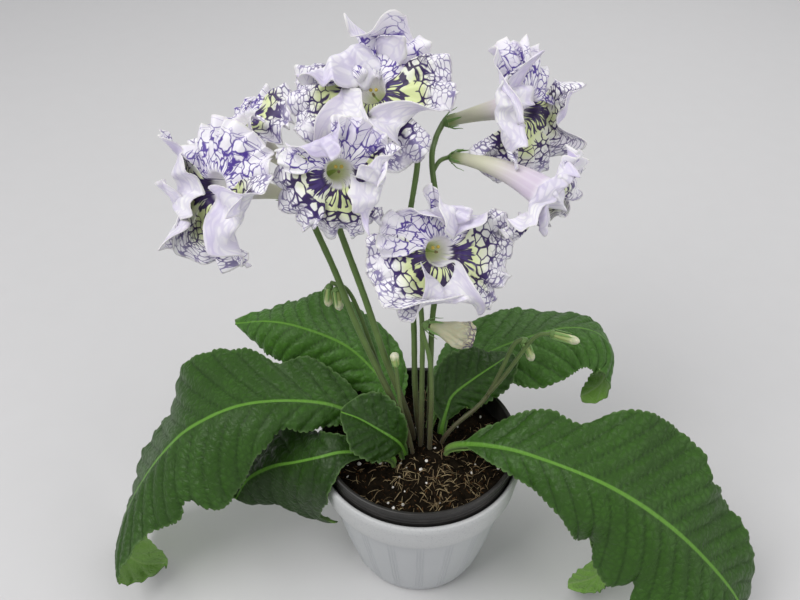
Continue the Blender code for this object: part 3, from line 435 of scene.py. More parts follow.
class Parts:
    """Gathers closed bodies into the arrays of one mesh, with a finish number for each."""

    def __init__(self):
        self.points, self.quads, self.finish, self.count = [], [], [], 0
        self.fields = {}

    def add(self, points, quads, finish=0, **fields):
        for key, values in fields.items():
            self.fields.setdefault(key, []).append((self.count, len(points), values))
        self.points.append(points)
        self.quads.append(quads + self.count)
        self.finish.append(np.full(len(quads), finish))
        self.count += len(points)

    def put(self, name, finishes):
        quads, finish = np.concatenate(self.quads), np.concatenate(self.finish)
        fields = {}
        for key, runs in self.fields.items():
            fields[key] = np.zeros(self.count)
            for start, length, values in runs:
                fields[key][start:start + length] = values
        groups = [quads[finish == k] for k in range(len(finishes))]
        return put_mesh(name, np.vstack(self.points), groups, finishes, fields)


def revolve(profile, sides=POT_SIDES, relief=None):
    """A turned body: each (radius, height) of the outline, carried round the Z axis. The outline
    starts and ends near the axis, and relief(angle, height, radius) is added to the radius."""
    outline = np.array(profile, float)
    angle = full_turn(sides)
    radius = np.repeat(outline[:, :1], sides, 1)
    height = np.repeat(outline[:, 1:], sides, 1)
    if relief is not None:
        radius = radius + relief(angle[None], height, radius)
    points = np.stack([radius * np.cos(angle), radius * np.sin(angle), height], 2).reshape(-1, 3)
    return points, tube_quads(len(outline), sides)


def rounded(profile, radius, steps=5):
    """The outline with each inner corner replaced by a short arc: points of the quadratic curve
    from radius before the corner to radius after it, at most 0.45 of the way to the next one."""
    points = [np.array(p, float) for p in profile]
    out = [points[0]]
    share = np.linspace(0, 1, steps)[:, None]
    for a, b, c in zip(points, points[1:], points[2:]):
        before = b + (a - b) * min(0.45, radius / max(np.linalg.norm(a - b), 1e-9))
        after = b + (c - b) * min(0.45, radius / max(np.linalg.norm(c - b), 1e-9))
        out.extend((1 - share)**2 * before + 2 * share * (1 - share) * b + share**2 * after)
    return np.array([*out, points[-1]])


def filled(profile, step):
    """The outline with points added so that no stretch of it is longer than step."""
    out = [np.array(profile[0], float)]
    for a, b in zip(profile, profile[1:]):
        a, b = np.array(a, float), np.array(b, float)
        count = max(1, int(np.ceil(np.linalg.norm(b - a) / step)))
        out.extend(a + (b - a) * (k + 1) / count for k in range(count))
    return np.array(out)


def rod(path, radii, sides=12, squash=1.0, hint=None):
    """A closed round bar along the path: path(k) + r(k) (side cos a - squash normal sin a)."""
    path = np.array(path, float)
    radii = np.interp(np.linspace(0, 1, len(path)), np.linspace(0, 1, len(radii)), radii)
    if hint is None:
        along = unit(path[-1] - path[0])
        hint = np.array([0.3, 1.0, 0.2]) if abs(along[1]) < 0.8 else np.array([1.0, 0.2, 0.3])
    _, side, normal = frames(path, hint)
    angle = full_turn(sides)
    ring = (side[:, None] * np.cos(angle)[:, None]
            - normal[:, None] * np.sin(angle)[:, None] * squash)
    points = (path[:, None] + ring * radii[:, None, None]).reshape(-1, 3)
    return points, tube_quads(len(path), sides)


def eased(share, stations, values):
    """Reads the values at the shares, with level starts and ends between the stations."""
    stations, values = np.array(stations, float), np.array(values, float)
    left = np.clip(np.searchsorted(stations, share, side="right") - 1, 0, len(stations) - 2)
    step = np.clip((share - stations[left]) / (stations[left + 1] - stations[left]), 0, 1)
    return values[left] + (values[left + 1] - values[left]) * step**2 * (3 - 2 * step)


def ramped(x, low, high):
    """0 below low, 1 above high, and an even S between."""
    step = np.clip((x - low) / (high - low), 0, 1)
    return step**2 * (3 - 2 * step)


def rumple(a, b, seed, octaves=3):
    """Smooth uneven relief of about -1 to 1: crossed sines, each octave finer and lower."""
    rng = np.random.default_rng(seed)
    total, weight = 0.0, 0.0
    for octave in range(octaves):
        scale, share = 2.0**octave, 0.55**octave
        for _ in range(4):
            turn, phase, drift = rng.uniform(0, 2 * math.pi, 3)
            wave = scale * (a * math.cos(turn) + b * math.sin(turn)) * rng.uniform(0.8, 1.25)
            bent = 0.8 * np.sin(scale * (a - b) * 0.6 + drift)
            total = total + share * np.sin(wave + phase + bent)
            weight += share
    return total / weight * 1.8


# Finishes

class Wire:
    """A socket with arithmetic: an expression on wires adds the Math nodes that work it out."""

    def __init__(self, tree, socket):
        self.tree, self.socket = tree, socket

    def math(self, operation, *values):
        node = self.tree.nodes.new("ShaderNodeMath")
        node.operation = operation
        for socket, value in zip(node.inputs, values):
            if isinstance(value, Wire):
                self.tree.links.new(value.socket, socket)
            else:
                socket.default_value = value
        return Wire(self.tree, node.outputs[0])

    def __add__(self, other):
        return self.math("ADD", self, other)

    def __radd__(self, other):
        return self.math("ADD", other, self)

    def __sub__(self, other):
        return self.math("SUBTRACT", self, other)

    def __rsub__(self, other):
        return self.math("SUBTRACT", other, self)

    def __mul__(self, other):
        return self.math("MULTIPLY", self, other)

    def sin(self):
        return self.math("SINE", self)

    def size(self):
        return self.math("ABSOLUTE", self)

    def most(self, other):
        return self.math("MAXIMUM", self, other)

    def least(self, other):
        return self.math("MINIMUM", self, other)


class Finish:
    """A Principled material. Constants go straight on its sockets, wires only where it varies."""

    def __init__(self, name, **constants):
        self.material = bpy.data.materials.new(name)
        self.material.use_nodes = True
        self.tree = self.material.node_tree
        self.shader = self.tree.nodes["Principled BSDF"]
        for key, value in constants.items():
            self.shader.inputs[key.replace("_", " ")].default_value = value

    def node(self, kind, settings=None, output=0, **values):
        """Adds a node: its settings first, then the value or the wire of each named socket, where
        input2 is socket number 2."""
        node = self.tree.nodes.new("ShaderNode" + kind)
        for key, value in (settings or {}).items():
            setattr(node, key, value)
        for key, value in values.items():
            key = key.replace("_", " ")
            socket = node.inputs[int(key[5:])] if key.startswith("input") else node.inputs[key]
            if isinstance(value, Wire):
                self.tree.links.new(value.socket, socket)
            else:
                socket.default_value = value
        return Wire(self.tree, node.outputs[output])

    def field(self, name):
        return self.node("Attribute", {"attribute_name": name}, output=2)

    def spot(self):
        return self.node("TexCoord", output=3)

    def flat(self):
        return self.node("UVMap", {"uv_map": "UVMap"})

    def part(self, vector, axis):
        return self.node("SeparateXYZ", output=axis, Vector=vector)

    def join(self, x, y, z=0.0):
        return self.node("CombineXYZ", X=x, Y=y, Z=z)

    def noise(self, vector, scale, detail=3.0, roughness=0.5):
        return self.node("TexNoise", Vector=vector, Scale=scale, Detail=detail, Roughness=roughness)

    def warped(self, vector, scale, amount):
        """The vector pushed about by a coloured noise, by up to half the amount each way."""
        shift = self.node("TexNoise", output=1, Vector=vector, Scale=scale, Detail=2.0)
        centred = self.node("VectorMath", {"operation": "SUBTRACT"}, input0=shift,
                            input1=(0.5, 0.5, 0.5))
        moved = self.node("VectorMath", {"operation": "SCALE"}, input0=centred, Scale=amount)
        return self.node("VectorMath", {"operation": "ADD"}, input0=vector, input1=moved)

    def cells(self, vector, scale, feature="DISTANCE_TO_EDGE"):
        return self.node("TexVoronoi", {"feature": feature}, Vector=vector, Scale=scale)

    def round_cells(self, vector, scale):
        """Distance to a cell's edge, less where its corners are far from its middle."""
        corner = self.smooth(self.cells(vector, scale, "F1"), 0.45, 0.85)
        return self.cells(vector, scale) - corner * 0.07

    def smooth(self, wire, low, high):
        """0 below low, 1 above high, with an even S between."""
        return self.node("MapRange", {"interpolation_type": "SMOOTHSTEP"}, Value=wire,
                         From_Min=low, From_Max=high)

    def mix(self, share, a, b):
        """From colour a at share 0 to colour b at share 1, each a wire or a plain colour."""
        a, b = (end if isinstance(end, Wire) else rgba(end) for end in (a, b))
        return self.node("Mix", {"data_type": "RGBA"}, output=2, input0=share, input6=a, input7=b)

    def bump(self, height, distance, strength=1.0):
        return self.node("Bump", Height=height, Distance=distance, Strength=strength)

    def set(self, **wires):
        for key, wire in wires.items():
            self.tree.links.new(wire.socket, self.shader.inputs[key.replace("_", " ")])
        return self.material


def rgba(colour, gain=1.0):
    return (colour[0] * gain, colour[1] * gain, colour[2] * gain, 1.0)


def outer_plastic(look):
    """Pale grey moulded plastic. The collar carries fine grey specks, the body only a faint few.
    Each rib is painted darker in the specks' grey, as painted shade.
    """
    finish = Finish("outer_plastic", Roughness=0.48, IOR=1.46)
    spot = finish.spot()
    height = finish.part(spot, 2)
    collar = finish.smooth(height, COLLAR_FOOT_Z - 0.5 * MM, COLLAR_FOOT_Z + 0.5 * MM)
    speck = finish.smooth(finish.noise(spot, 950.0, 4.0, 0.7), 0.53, 0.70)
    cloud = finish.noise(spot, 60.0, 3.0)
    share = speck * (collar * 0.50 + 0.10) + (cloud - 0.5) * 0.10
    body = finish.mix(collar, look.outer_colour, look.collar_colour)
    # painted shade: each rib is drawn darker, in the specks' grey
    share = share.most(finish.field("rib_shade") * 0.35)
    colour = finish.mix(share, body, look.speck_and_rib_shade_colour)
    grain = finish.noise(spot, 1400.0, 2.0)
    return finish.set(Base_Color=colour, Roughness=0.42 + cloud * 0.16,
                      Normal=finish.bump(grain, 0.05 * MM, 0.5))


def nursery_plastic(look):
    """Black satin plastic with faint turned lines, dust on the lip, and a brownish bloom."""
    finish = Finish("nursery_plastic", Roughness=0.4, IOR=1.5)
    spot = finish.spot()
    height = finish.part(spot, 2)
    turned = finish.noise(finish.join(0.0, 0.0, height), 2600.0, 2.0)
    dust = finish.noise(spot, 140.0, 4.0, 0.65)
    share = finish.smooth(dust, 0.45, 0.75) * 0.45 + (turned - 0.5) * 0.10
    colour = finish.mix(share, look.nursery_colour, look.dust_colour)
    return finish.set(Base_Color=colour, Roughness=0.34 + dust * 0.22,
                      Normal=finish.bump(turned + dust * 0.4, 0.06 * MM, 0.6))


def peat(look):
    """Damp dark peat: brown crumbs with painted shade, near black, in the hollows of their relief,
    and a few ginger threads.
    """
    finish = Finish("soil", Roughness=0.95, IOR=1.12)
    spot = finish.spot()
    crumb = finish.noise(spot, 320.0, 6.0, 0.7)
    clod = finish.noise(spot, 70.0, 4.0, 0.6)
    ginger = finish.smooth(finish.noise(finish.warped(spot, 90.0, 0.02), 420.0, 2.0), 0.62, 0.72)
    # painted shade: where the crumb relief of the bump is low, the peat turns near black
    dark = finish.mix(finish.smooth(crumb * 0.6 + clod * 0.4, 0.34, 0.68), look.hollow_shade_colour,
                      look.peat_colour)
    colour = finish.mix(ginger * 0.5, dark, look.ginger_colour)
    return finish.set(Base_Color=colour, Roughness=0.8 + crumb * 0.2,
                      Normal=finish.bump(crumb + clod, 0.9 * MM, 0.9))


def straw(look):
    """Dry fibre: pale gold to brown, changing from stem to stem by the field age."""
    finish = Finish("straw", Roughness=0.6)
    spot = finish.spot()
    grain = finish.noise(spot, 900.0, 2.0)
    share = finish.field("age") * 0.8 + grain * 0.3
    colour = finish.mix(share, look.fibre_colour, look.old_fibre_colour)
    return finish.set(Base_Color=colour, Normal=finish.bump(grain, 0.1 * MM))


def perlite(look):
    """White foamed grains, pitted and a little stained."""
    finish = Finish("perlite", Roughness=0.9)
    spot = finish.spot()
    pits = finish.cells(spot, 1500.0, "F1")
    stain = finish.noise(spot, 300.0, 3.0)
    colour = finish.mix(finish.smooth(stain, 0.45, 0.8) * 0.6, look.grain_colour,
                        rgba(look.peat_colour, 3.0))
    return finish.set(Base_Color=colour, Normal=finish.bump(pits, 0.25 * MM))


def leaf_top(look):
    """Satin green with painted light: darker in the creases of the side veins as painted shade,
    with a pale thread along each as a painted highlight, lighter on the crowns between them and on
    the middles of the small pillows as painted highlight, with a faint net of small veins and a
    downy rim."""
    finish = Finish("leaf", Roughness=0.4, IOR=1.32)
    flat = finish.flat()
    rib, vein, rim = finish.field("rib"), finish.field("vein"), finish.field("rim")
    tone, along = finish.field("tone"), finish.field("along")
    net = finish.cells(finish.warped(flat, 180.0, 0.003), 230.0)
    fine = finish.cells(finish.warped(flat, 400.0, 0.0012), 700.0)
    seam = 1 - finish.smooth(net, 0.02, 0.14)
    cloud = finish.noise(flat, 24.0, 4.0, 0.6)
    # tone: partly the leaf's age, partly painted shade on leaves that lie in shade
    deep = finish.mix(tone, look.dark_green, look.bright_green)
    # pale is a lit copy of the greens: on the middles of the net's cells it paints highlights on
    # the pillows, elsewhere a random cloud
    pale = finish.mix(tone, rgba(look.dark_green, 1.7), rgba(look.bright_green, 1.45))
    lamina = finish.mix(finish.smooth(net * 0.5 + cloud, 0.45, 0.95), deep, pale)
    # painted shade: darker along the creases of the side veins and the seams of the net
    crease_shaded = finish.mix((vein * 0.6 + seam * 0.12).least(1.0), lamina, look.crease_shade_green)
    # painted highlight: a pale thread down each side vein's crease
    vein_highlighted = finish.mix(finish.smooth(vein, 0.80, 1.0) * 0.6, crease_shaded, rgba(look.rib_colour, 0.6))
    ribbed = finish.mix(finish.smooth(rib, 0.45, 0.8) * 0.9, vein_highlighted, look.rib_colour)
    foot = finish.mix((1 - finish.smooth(along, 0.02, 0.11)) * 0.6, ribbed, look.foot_colour)
    colour = finish.mix(rim * 0.5, foot, look.rim_colour)
    rough = 0.31 + seam * 0.12 + cloud * 0.16
    relief = finish.smooth(net, 0.0, 0.4) + finish.smooth(fine, 0.0, 0.3) * 0.3 + cloud * 0.8
    return finish.set(Base_Color=colour, Roughness=rough,
                      Normal=finish.bump(relief, 0.35 * MM, 0.7))


def leaf_under(look):
    """The downy underside: pale green with a raised net of lighter veins."""
    finish = Finish("leaf_under", Roughness=0.6, Sheen_Weight=0.08)
    flat = finish.flat()
    rib, vein = finish.field("rib"), finish.field("vein")
    net = finish.cells(finish.warped(flat, 180.0, 0.003), 230.0)
    seam = 1 - finish.smooth(net, 0.02, 0.12)
    cloud = finish.noise(flat, 40.0, 3.0)
    base = finish.mix(cloud, rgba(look.under_colour, 0.75), rgba(look.under_colour, 1.15))
    share = (finish.smooth(vein, 0.5, 0.98) + finish.smooth(rib, 0.3, 0.75) + seam * 0.2).least(1.0)
    colour = finish.mix(share * 0.6, base, look.under_vein_colour)
    return finish.set(Base_Color=colour, Normal=finish.bump(seam + cloud * 0.3, 0.3 * MM, 0.7))


def stalk_skin(look):
    """Downy green stem that turns brown-purple towards the soil and is pale round the sepals."""
    finish = Finish("stalk", Roughness=0.55, Sheen_Weight=0.25, Sheen_Roughness=0.4)
    spot = finish.spot()
    height = finish.part(spot, 2)
    patch = finish.noise(spot, 160.0, 3.0)
    low = 1 - finish.smooth(height + (patch - 0.5) * 0.03, look.purple_height - 0.03,
                            look.purple_height + 0.05)
    young = finish.mix(patch, rgba(look.stalk_colour, 0.75), rgba(look.stalk_colour, 1.3))
    colour = finish.mix(low * 0.85, young, look.stalk_foot_colour)
    tint = finish.mix(finish.field("fresh"), colour, look.sepal_colour)
    grain = finish.noise(spot, 900.0, 2.0)
    return finish.set(Base_Color=tint, Normal=finish.bump(grain, 0.15 * MM, 0.6))


def pistil_skin(look):
    """Pale green ovary and style, browner at the stigma."""
    finish = Finish("pistil", Roughness=0.4)
    grain = finish.noise(finish.spot(), 500.0, 2.0)
    colour = finish.mix(finish.field("tip"), look.pistil_colour, look.stigma_colour)
    return finish.set(Base_Color=colour, Normal=finish.bump(grain, 0.1 * MM, 0.5))


def petal_face(look):
    """The painted side of the petals: a net of violet lines over white on the upper lobes and lime
    on the lower ones. Cells are drawn out into rays at the throat, round in the middle and small
    at the margin, where the lime fades to white. Dark blotches sit at both sides of the throat,
    broken into rays, and the throat itself is cream with a few thin lines. The throat also glows a
    little, a painted light standing for light through the tube's wall."""
    finish = Finish("petal", Roughness=0.5, Sheen_Weight=0.1, Emission_Strength=0.09, **PETAL_LIGHT)
    flat = finish.flat()
    limb, upper, tube = finish.field("limb"), finish.field("upper"), finish.field("tube")
    ray, tint, lime_rim = finish.field("ray"), finish.field("tint"), finish.field("lime_rim")
    reach = finish.field("reach")
    wander = finish.noise(flat, 110.0, 3.0)
    drift = finish.noise(flat, 45.0, 2.0)
    coarse = finish.round_cells(finish.warped(flat, 130.0, 0.0035), look.net_scale)
    small = finish.round_cells(finish.warped(flat, 300.0, 0.0018), look.net_scale * 1.7)
    drawn = finish.join(ray * 0.021, reach * 0.42, tint)
    radial = finish.round_cells(finish.warped(drawn, 170.0, 0.004), look.net_scale * 1.05)
    inner = 1 - finish.smooth(limb + (drift - 0.5) * 0.3, 0.26, 0.40)
    outer = finish.smooth(limb + (drift - 0.5) * 0.4, 0.62, 0.98)
    width = 0.088 - limb * 0.06 + (wander - 0.5) * 0.08 + inner * 0.03
    net = (radial + (1 - inner) * 0.6).least(coarse + inner * 0.6 + outer * 0.25)
    low_line = 1 - finish.smooth(net - width, -0.03, 0.045)
    dash = (1 - finish.smooth(small, 0.01, 0.11)) * finish.smooth(limb, 0.5, 0.75)
    low_line = low_line.most(dash * finish.smooth(wander, 0.32, 0.5) * 0.9)
    branch = finish.cells(finish.warped(finish.join(ray * 0.024, reach * 0.6, tint), 190.0, 0.005),
                          look.net_scale * 1.1)
    up_width = 0.068 - limb * 0.03 + (wander - 0.5) * 0.06
    up_net = (branch + outer * 0.06).least(coarse + inner * 0.5 + 0.10)
    up_line = 1 - finish.smooth(up_net - up_width, -0.03, 0.05)
    up_line = up_line * (1 - finish.smooth(limb + (drift - 0.5) * 0.4, 0.84, 1.04))
    up_line = up_line * finish.smooth(limb + (drift - 0.5) * 0.3, 0.0, 0.14)
    side = math.pi - (ray - math.pi).size()
    beside = finish.smooth(side, 1.1, 1.5) * (1 - finish.smooth(side, 2.2, 2.6))
    fan = finish.noise(finish.join(ray * 1.7, reach * 25.0, tint * 9.0), 2.2, 2.0)
    spokes = finish.smooth(finish.noise(finish.join(ray * 5.0, reach * 30.0, tint * 5.0), 2.2, 1.0),
                           0.36, 0.64)
    extent = beside * (0.16 + finish.smooth(fan, 0.32, 0.66) * 0.20 + spokes * 0.08) - 0.09
    extent = extent + (spokes - 0.6) * 0.08 + (wander - 0.5) * 0.08
    blotch = 1 - finish.smooth(limb - extent, -0.03, 0.05)
    blotch = blotch * finish.smooth(tube + (spokes - 0.5) * 0.16, 0.84, 0.94)
    lime = finish.mix(finish.smooth(limb + (drift - 0.5) * 0.8, 0.30, 0.78), look.lime_colour,
                      look.white_colour)
    lime = finish.mix(finish.smooth(finish.noise(flat, 55.0, 2.0), 0.48, 0.66) * 0.6, lime,
                      look.white_colour)
    white = finish.mix(finish.smooth(finish.noise(flat, 70.0, 3.0), 0.35, 0.75) * 0.6,
                       look.white_colour, look.lavender_colour)
    dark = finish.mix((finish.smooth(limb, 0.4, 1.0) * 0.7 + (drift - 0.5)).least(1.0).most(0.0),
                      look.dark_purple, look.violet_colour)
    lower = finish.mix(low_line * (1 - outer * 0.15), lime, dark)
    depth = finish.mix(finish.smooth(drift + (spokes - 0.5) * 0.3, 0.45, 0.6) * 0.35,
                       look.dark_purple, rgba(look.violet_colour, 0.9))
    lower = finish.mix(blotch, lower, depth)
    higher = finish.mix(up_line, white, look.violet_colour)
    higher = finish.mix(blotch * finish.smooth(side, 0.25, 0.5), higher, depth)
    limb_colour = finish.mix(upper, lower, higher)
    thread = finish.noise(finish.join(ray * 9.0, reach * 40.0, tint * 3.0), 2.4, 1.0)
    thread = finish.smooth(thread, 0.66, 0.73)
    streak = finish.smooth(fan, 0.45, 0.6) * finish.smooth(side, 1.7, 2.3)
    throat = finish.mix(finish.smooth(tube, 0.3, 0.85), look.throat_colour, look.white_colour)
    throat = finish.mix(streak * finish.smooth(tube, 0.5, 0.8) * 0.8, throat, look.lime_colour)
    throat = finish.mix(thread * finish.smooth(tube, 0.45, 0.75) * 0.6, throat, look.dark_purple)
    painted = finish.mix(finish.smooth(tube, 0.90, 0.99), finish.mix(blotch, throat, depth),
                         limb_colour)
    edge = finish.smooth(limb, 0.955, 0.995)
    painted = finish.mix(edge * 0.5, painted, look.white_colour)
    colour = finish.mix(edge * lime_rim * 0.8, painted, look.lime_rim_colour)
    veins = finish.smooth(net, 0.0, 0.25)
    # painted light: an emission glow in the throat, standing for light through the tube's wall
    glow = finish.mix(1 - finish.smooth(tube, 0.80, 0.98), (0, 0, 0), throat)
    return finish.set(Base_Color=colour, Emission_Color=glow,
                      Normal=finish.bump(veins + wander * 0.5, 0.25 * MM, 0.5))


def petal_back(look):
    """The outside of the petals and the tube: cream to pale lavender, with the net faintly through
    it, and greenish at the tube's foot."""
    finish = Finish("petal_back", Roughness=0.55, Sheen_Weight=0.2, **PETAL_LIGHT)
    flat = finish.flat()
    limb, tube, ray = finish.field("limb"), finish.field("tube"), finish.field("ray")
    upper, lime_rim = finish.field("upper"), finish.field("lime_rim")
    cloud = finish.noise(flat, 60.0, 3.0)
    net = finish.cells(finish.warped(flat, 120.0, 0.004), look.net_scale)
    line = (1 - finish.smooth(net, 0.04, 0.20)) * finish.smooth(limb, 0.05, 0.3)
    pale = finish.mix(finish.smooth(cloud, 0.35, 0.7), look.white_colour, look.lavender_colour)
    glow = finish.mix((1 - upper) * finish.smooth(limb, 0.1, 0.3) * 0.30 * (1 - limb), pale,
                      look.lime_colour)
    shown = finish.mix(line * 0.28 * (1 - limb * 0.5), glow, rgba(look.violet_colour, 1.4))
    stripes = finish.smooth((ray * 12.0).sin(), 0.2, 1.0) * 0.15
    skin = finish.mix(finish.smooth(tube + (cloud - 0.5) * 0.2, 0.25, 0.85), look.tube_colour,
                      look.blush_colour)
    skin = finish.mix(1 - finish.smooth(tube, 0.0, 0.16), skin, look.tube_foot_colour)
    skin = finish.mix(stripes * finish.smooth(tube, 0.3, 0.7), skin, look.white_colour)
    colour = finish.mix(finish.smooth(tube, 0.9, 1.0), skin, shown)
    edge = finish.smooth(limb, 0.955, 0.995) * lime_rim
    colour = finish.mix(edge * 0.8, colour, look.lime_rim_colour)
    return finish.set(Base_Color=colour, Normal=finish.bump(cloud, 0.3 * MM, 0.4))


def bud_skin(look):
    """A closed bud: green at its foot, cream with faint streaks at its end."""
    finish = Finish("bud", Roughness=0.5, Subsurface_Weight=0.1, Subsurface_Scale=0.002)
    spot, tip = finish.spot(), finish.field("tip")
    streak = finish.noise(finish.warped(spot, 300.0, 0.003), 420.0, 3.0)
    pale = finish.mix(finish.smooth(tip + (streak - 0.5) * 0.3, 0.45, 0.95),
                      look.tube_foot_colour, look.tube_colour)
    colour = finish.mix(finish.smooth(streak, 0.52, 0.66) * finish.smooth(tip, 0.3, 0.6) * 0.6,
                        pale, look.throat_colour)
    return finish.set(Base_Color=colour, Normal=finish.bump(streak, 0.2 * MM, 0.5))


def faded_petal(look):
    """A spent bloom: limp cream that has gone green-brown, with purple stains in the creases."""
    finish = Finish("faded_petal", Roughness=0.7, Subsurface_Weight=0.1, Subsurface_Scale=0.002)
    spot, tube = finish.spot(), finish.field("tube")
    stain = finish.noise(finish.warped(spot, 150.0, 0.01), 160.0, 4.0, 0.6)
    net = finish.cells(finish.warped(spot, 200.0, 0.004), 320.0)
    colour = finish.mix(finish.smooth(stain, 0.4, 0.7), look.faded_colour, look.tube_colour)
    line = 1 - finish.smooth(net, 0.05, 0.2)
    line = line * finish.smooth(tube + (stain - 0.5) * 0.4, 0.55, 0.8)
    colour = finish.mix(line * 0.8, colour, rgba(look.dark_purple, 2.0))
    colour = finish.mix((1 - finish.smooth(tube, 0.0, 0.3)) * 0.6, colour, look.tube_foot_colour)
    return finish.set(Base_Color=colour, Normal=finish.bump(stain, 0.6 * MM, 0.7))


# Forms

def outer_pot(look):
    """A cup turned from the solid's outline with its corners eased, and thin upright ribs in
    threes: below the collar the radius gains rib_height times a narrow bell at each rib."""
    body_top = COLLAR_FOOT_RADIUS - 2.6 * MM
    profile = [
        (0.2 * MM, 0), (0.036, 0), (0.039, 1.2 * MM), (0.0418, 8 * MM), (0.0470, 28 * MM),
        (body_top, COLLAR_FOOT_Z - 0.2 * MM), (COLLAR_FOOT_RADIUS, COLLAR_FOOT_Z + 0.4 * MM),
        (COLLAR_RADIUS, OUTER_RIM_Z - 4 * MM), (COLLAR_RADIUS - 0.4 * MM, OUTER_RIM_Z - 0.6 * MM),
        (COLLAR_RADIUS - 1.4 * MM, OUTER_RIM_Z), (0.0586, OUTER_RIM_Z - 0.3 * MM),
        (body_top - 2 * MM, COLLAR_FOOT_Z), (0.0450, 28 * MM), (0.0395, 8 * MM), (0.0370, 3 * MM),
        (0.2 * MM, 3 * MM)]
    spacing = 2 * math.pi / look.rib_groups

    def ribs(angle, height, radius):
        outside = ((radius > 0.0405 + (height - 8 * MM) * 0.2) & (height > 1 * MM)
                   & (height < COLLAR_FOOT_Z)) * 1.0
        local = (angle + spacing / 2) % spacing - spacing / 2
        ridges = sum(bell(local * radius, at * look.rib_gap, look.rib_width) for at in (-1, 0, 1))
        fade = ramped(height, 2 * MM, 10 * MM) * (1 - ramped(height, 0.0705, 0.0725))
        return outside * fade * ridges * look.rib_height

    outline = filled(rounded(profile, 0.9 * MM, 3), 14 * MM)
    points, quads = revolve(outline, look.outer_sides, ribs)
    radius, height = np.hypot(points[:, 0], points[:, 1]), points[:, 2]
    # how far each point stands on a rib, which the finish paints darker as shade
    rib_shade = ribs(np.arctan2(points[:, 1], points[:, 0]), height, radius) / look.rib_height
    return put_mesh("outer_pot_look", points, [quads], [outer_plastic(look)], {"rib_shade": rib_shade})


def nursery_inside(z):
    """Inner radius of the nursery pot at a height."""
    heights = [NURSERY_FLOOR_Z, NURSERY_BAND_FOOT_Z - 1 * MM, NURSERY_BAND_FOOT_Z + 1 * MM,
               NURSERY_RIM_Z]
    outer = [NURSERY_FOOT_RADIUS, NURSERY_TOP_RADIUS, 0.0560, NURSERY_LIP_RADIUS]
    return float(np.interp(z, heights, outer)) - NURSERY_WALL


def nursery_pot(look):
    """The thin pot turned from its outline, with two fine grooves round the band under the lip."""
    band = NURSERY_RIM_RADIUS - 0.5 * MM
    top, grooves = NURSERY_RIM_Z, []
    for z in (NURSERY_BAND_FOOT_Z + 6.0 * MM, NURSERY_BAND_FOOT_Z + 8.6 * MM):
        grooves += [(band - 0.2 * MM, z - 0.6 * MM), (band - 0.2 * MM - look.groove_depth, z),
                    (band - 0.2 * MM, z + 0.6 * MM)]
    profile = [
        (0.2 * MM, NURSERY_FLOOR_Z), (NURSERY_FOOT_RADIUS, NURSERY_FLOOR_Z),
        (NURSERY_TOP_RADIUS, NURSERY_BAND_FOOT_Z - 1 * MM), (band - 0.6 * MM, NURSERY_BAND_FOOT_Z),
        *grooves,
        (band, top - 2.4 * MM), (NURSERY_RIM_RADIUS, top - 2 * MM),
        (NURSERY_RIM_RADIUS, top - 0.5 * MM), (NURSERY_RIM_RADIUS - 0.8 * MM, top),
        (NURSERY_LIP_RADIUS - NURSERY_WALL, top - 0.6 * MM),
        (nursery_inside(NURSERY_BAND_FOOT_Z + 1 * MM), NURSERY_BAND_FOOT_Z + 1 * MM),
        (nursery_inside(NURSERY_BAND_FOOT_Z - 1 * MM), NURSERY_BAND_FOOT_Z - 1 * MM),
        (nursery_inside(NURSERY_FLOOR_Z + 1.4 * MM), NURSERY_FLOOR_Z + 1.4 * MM),
        (0.2 * MM, NURSERY_FLOOR_Z + 1.4 * MM)]
    points, quads = revolve(rounded(profile, 0.35 * MM))
    return put_mesh("nursery_pot_look", points, [quads], [nursery_plastic(look)])


def soil_height(x, y, look):
    """Crossed waves as in the solid, a low mound at the crown, and crumbs of two finer sizes."""
    waves = (np.sin(x * 310 + 1.3 * np.sin(y * 190)) * np.cos(y * 270 + 0.8)
             + 0.6 * np.sin(x * 560 + 2.1) * np.sin(y * 610 + x * 150))
    mound = 3.0 * MM * np.exp(-(x**2 + y**2) / 0.022**2)
    crumbs = rumple(x * 900, y * 900, 5) * 0.6 + rumple(x * 2300, y * 2300, 9) * 0.4
    return SOIL_Z + 1.1 * MM * waves + mound + look.crumb_height * crumbs


def soil(look):
    """The soil's top as a round height field down to a closed plug, with fibres and brown and
    white grains strewn on it by seeded draws."""
    share = np.linspace(0.004, 1, SOIL_RINGS) ** 0.9
    angle = full_turn(SOIL_SIDES)
    x = (share[:, None] * np.cos(angle)) * SOIL_RADIUS
    y = (share[:, None] * np.sin(angle)) * SOIL_RADIUS
    top = np.stack([x, y, soil_height(x, y, look)], 2)
    around = np.stack([np.cos(angle), np.sin(angle)], 1)
    skirt = []
    for z in (NURSERY_BAND_FOOT_Z - 1.5 * MM, NURSERY_FLOOR_Z + 2 * MM):
        radius = nursery_inside(z) - 2 * CLEAR
        skirt.append(np.column_stack([around * radius, np.full(SOIL_SIDES, z)])[None])
    shell = np.concatenate([top, *skirt])
    parts = Parts()
    parts.add(shell.reshape(-1, 3), tube_quads(len(shell), SOIL_SIDES)[:, ::-1])
    strew_fibres(parts, look)
    strew_grains(parts, look)
    return parts.put("soil_look", [peat(look), straw(look), perlite(look)])


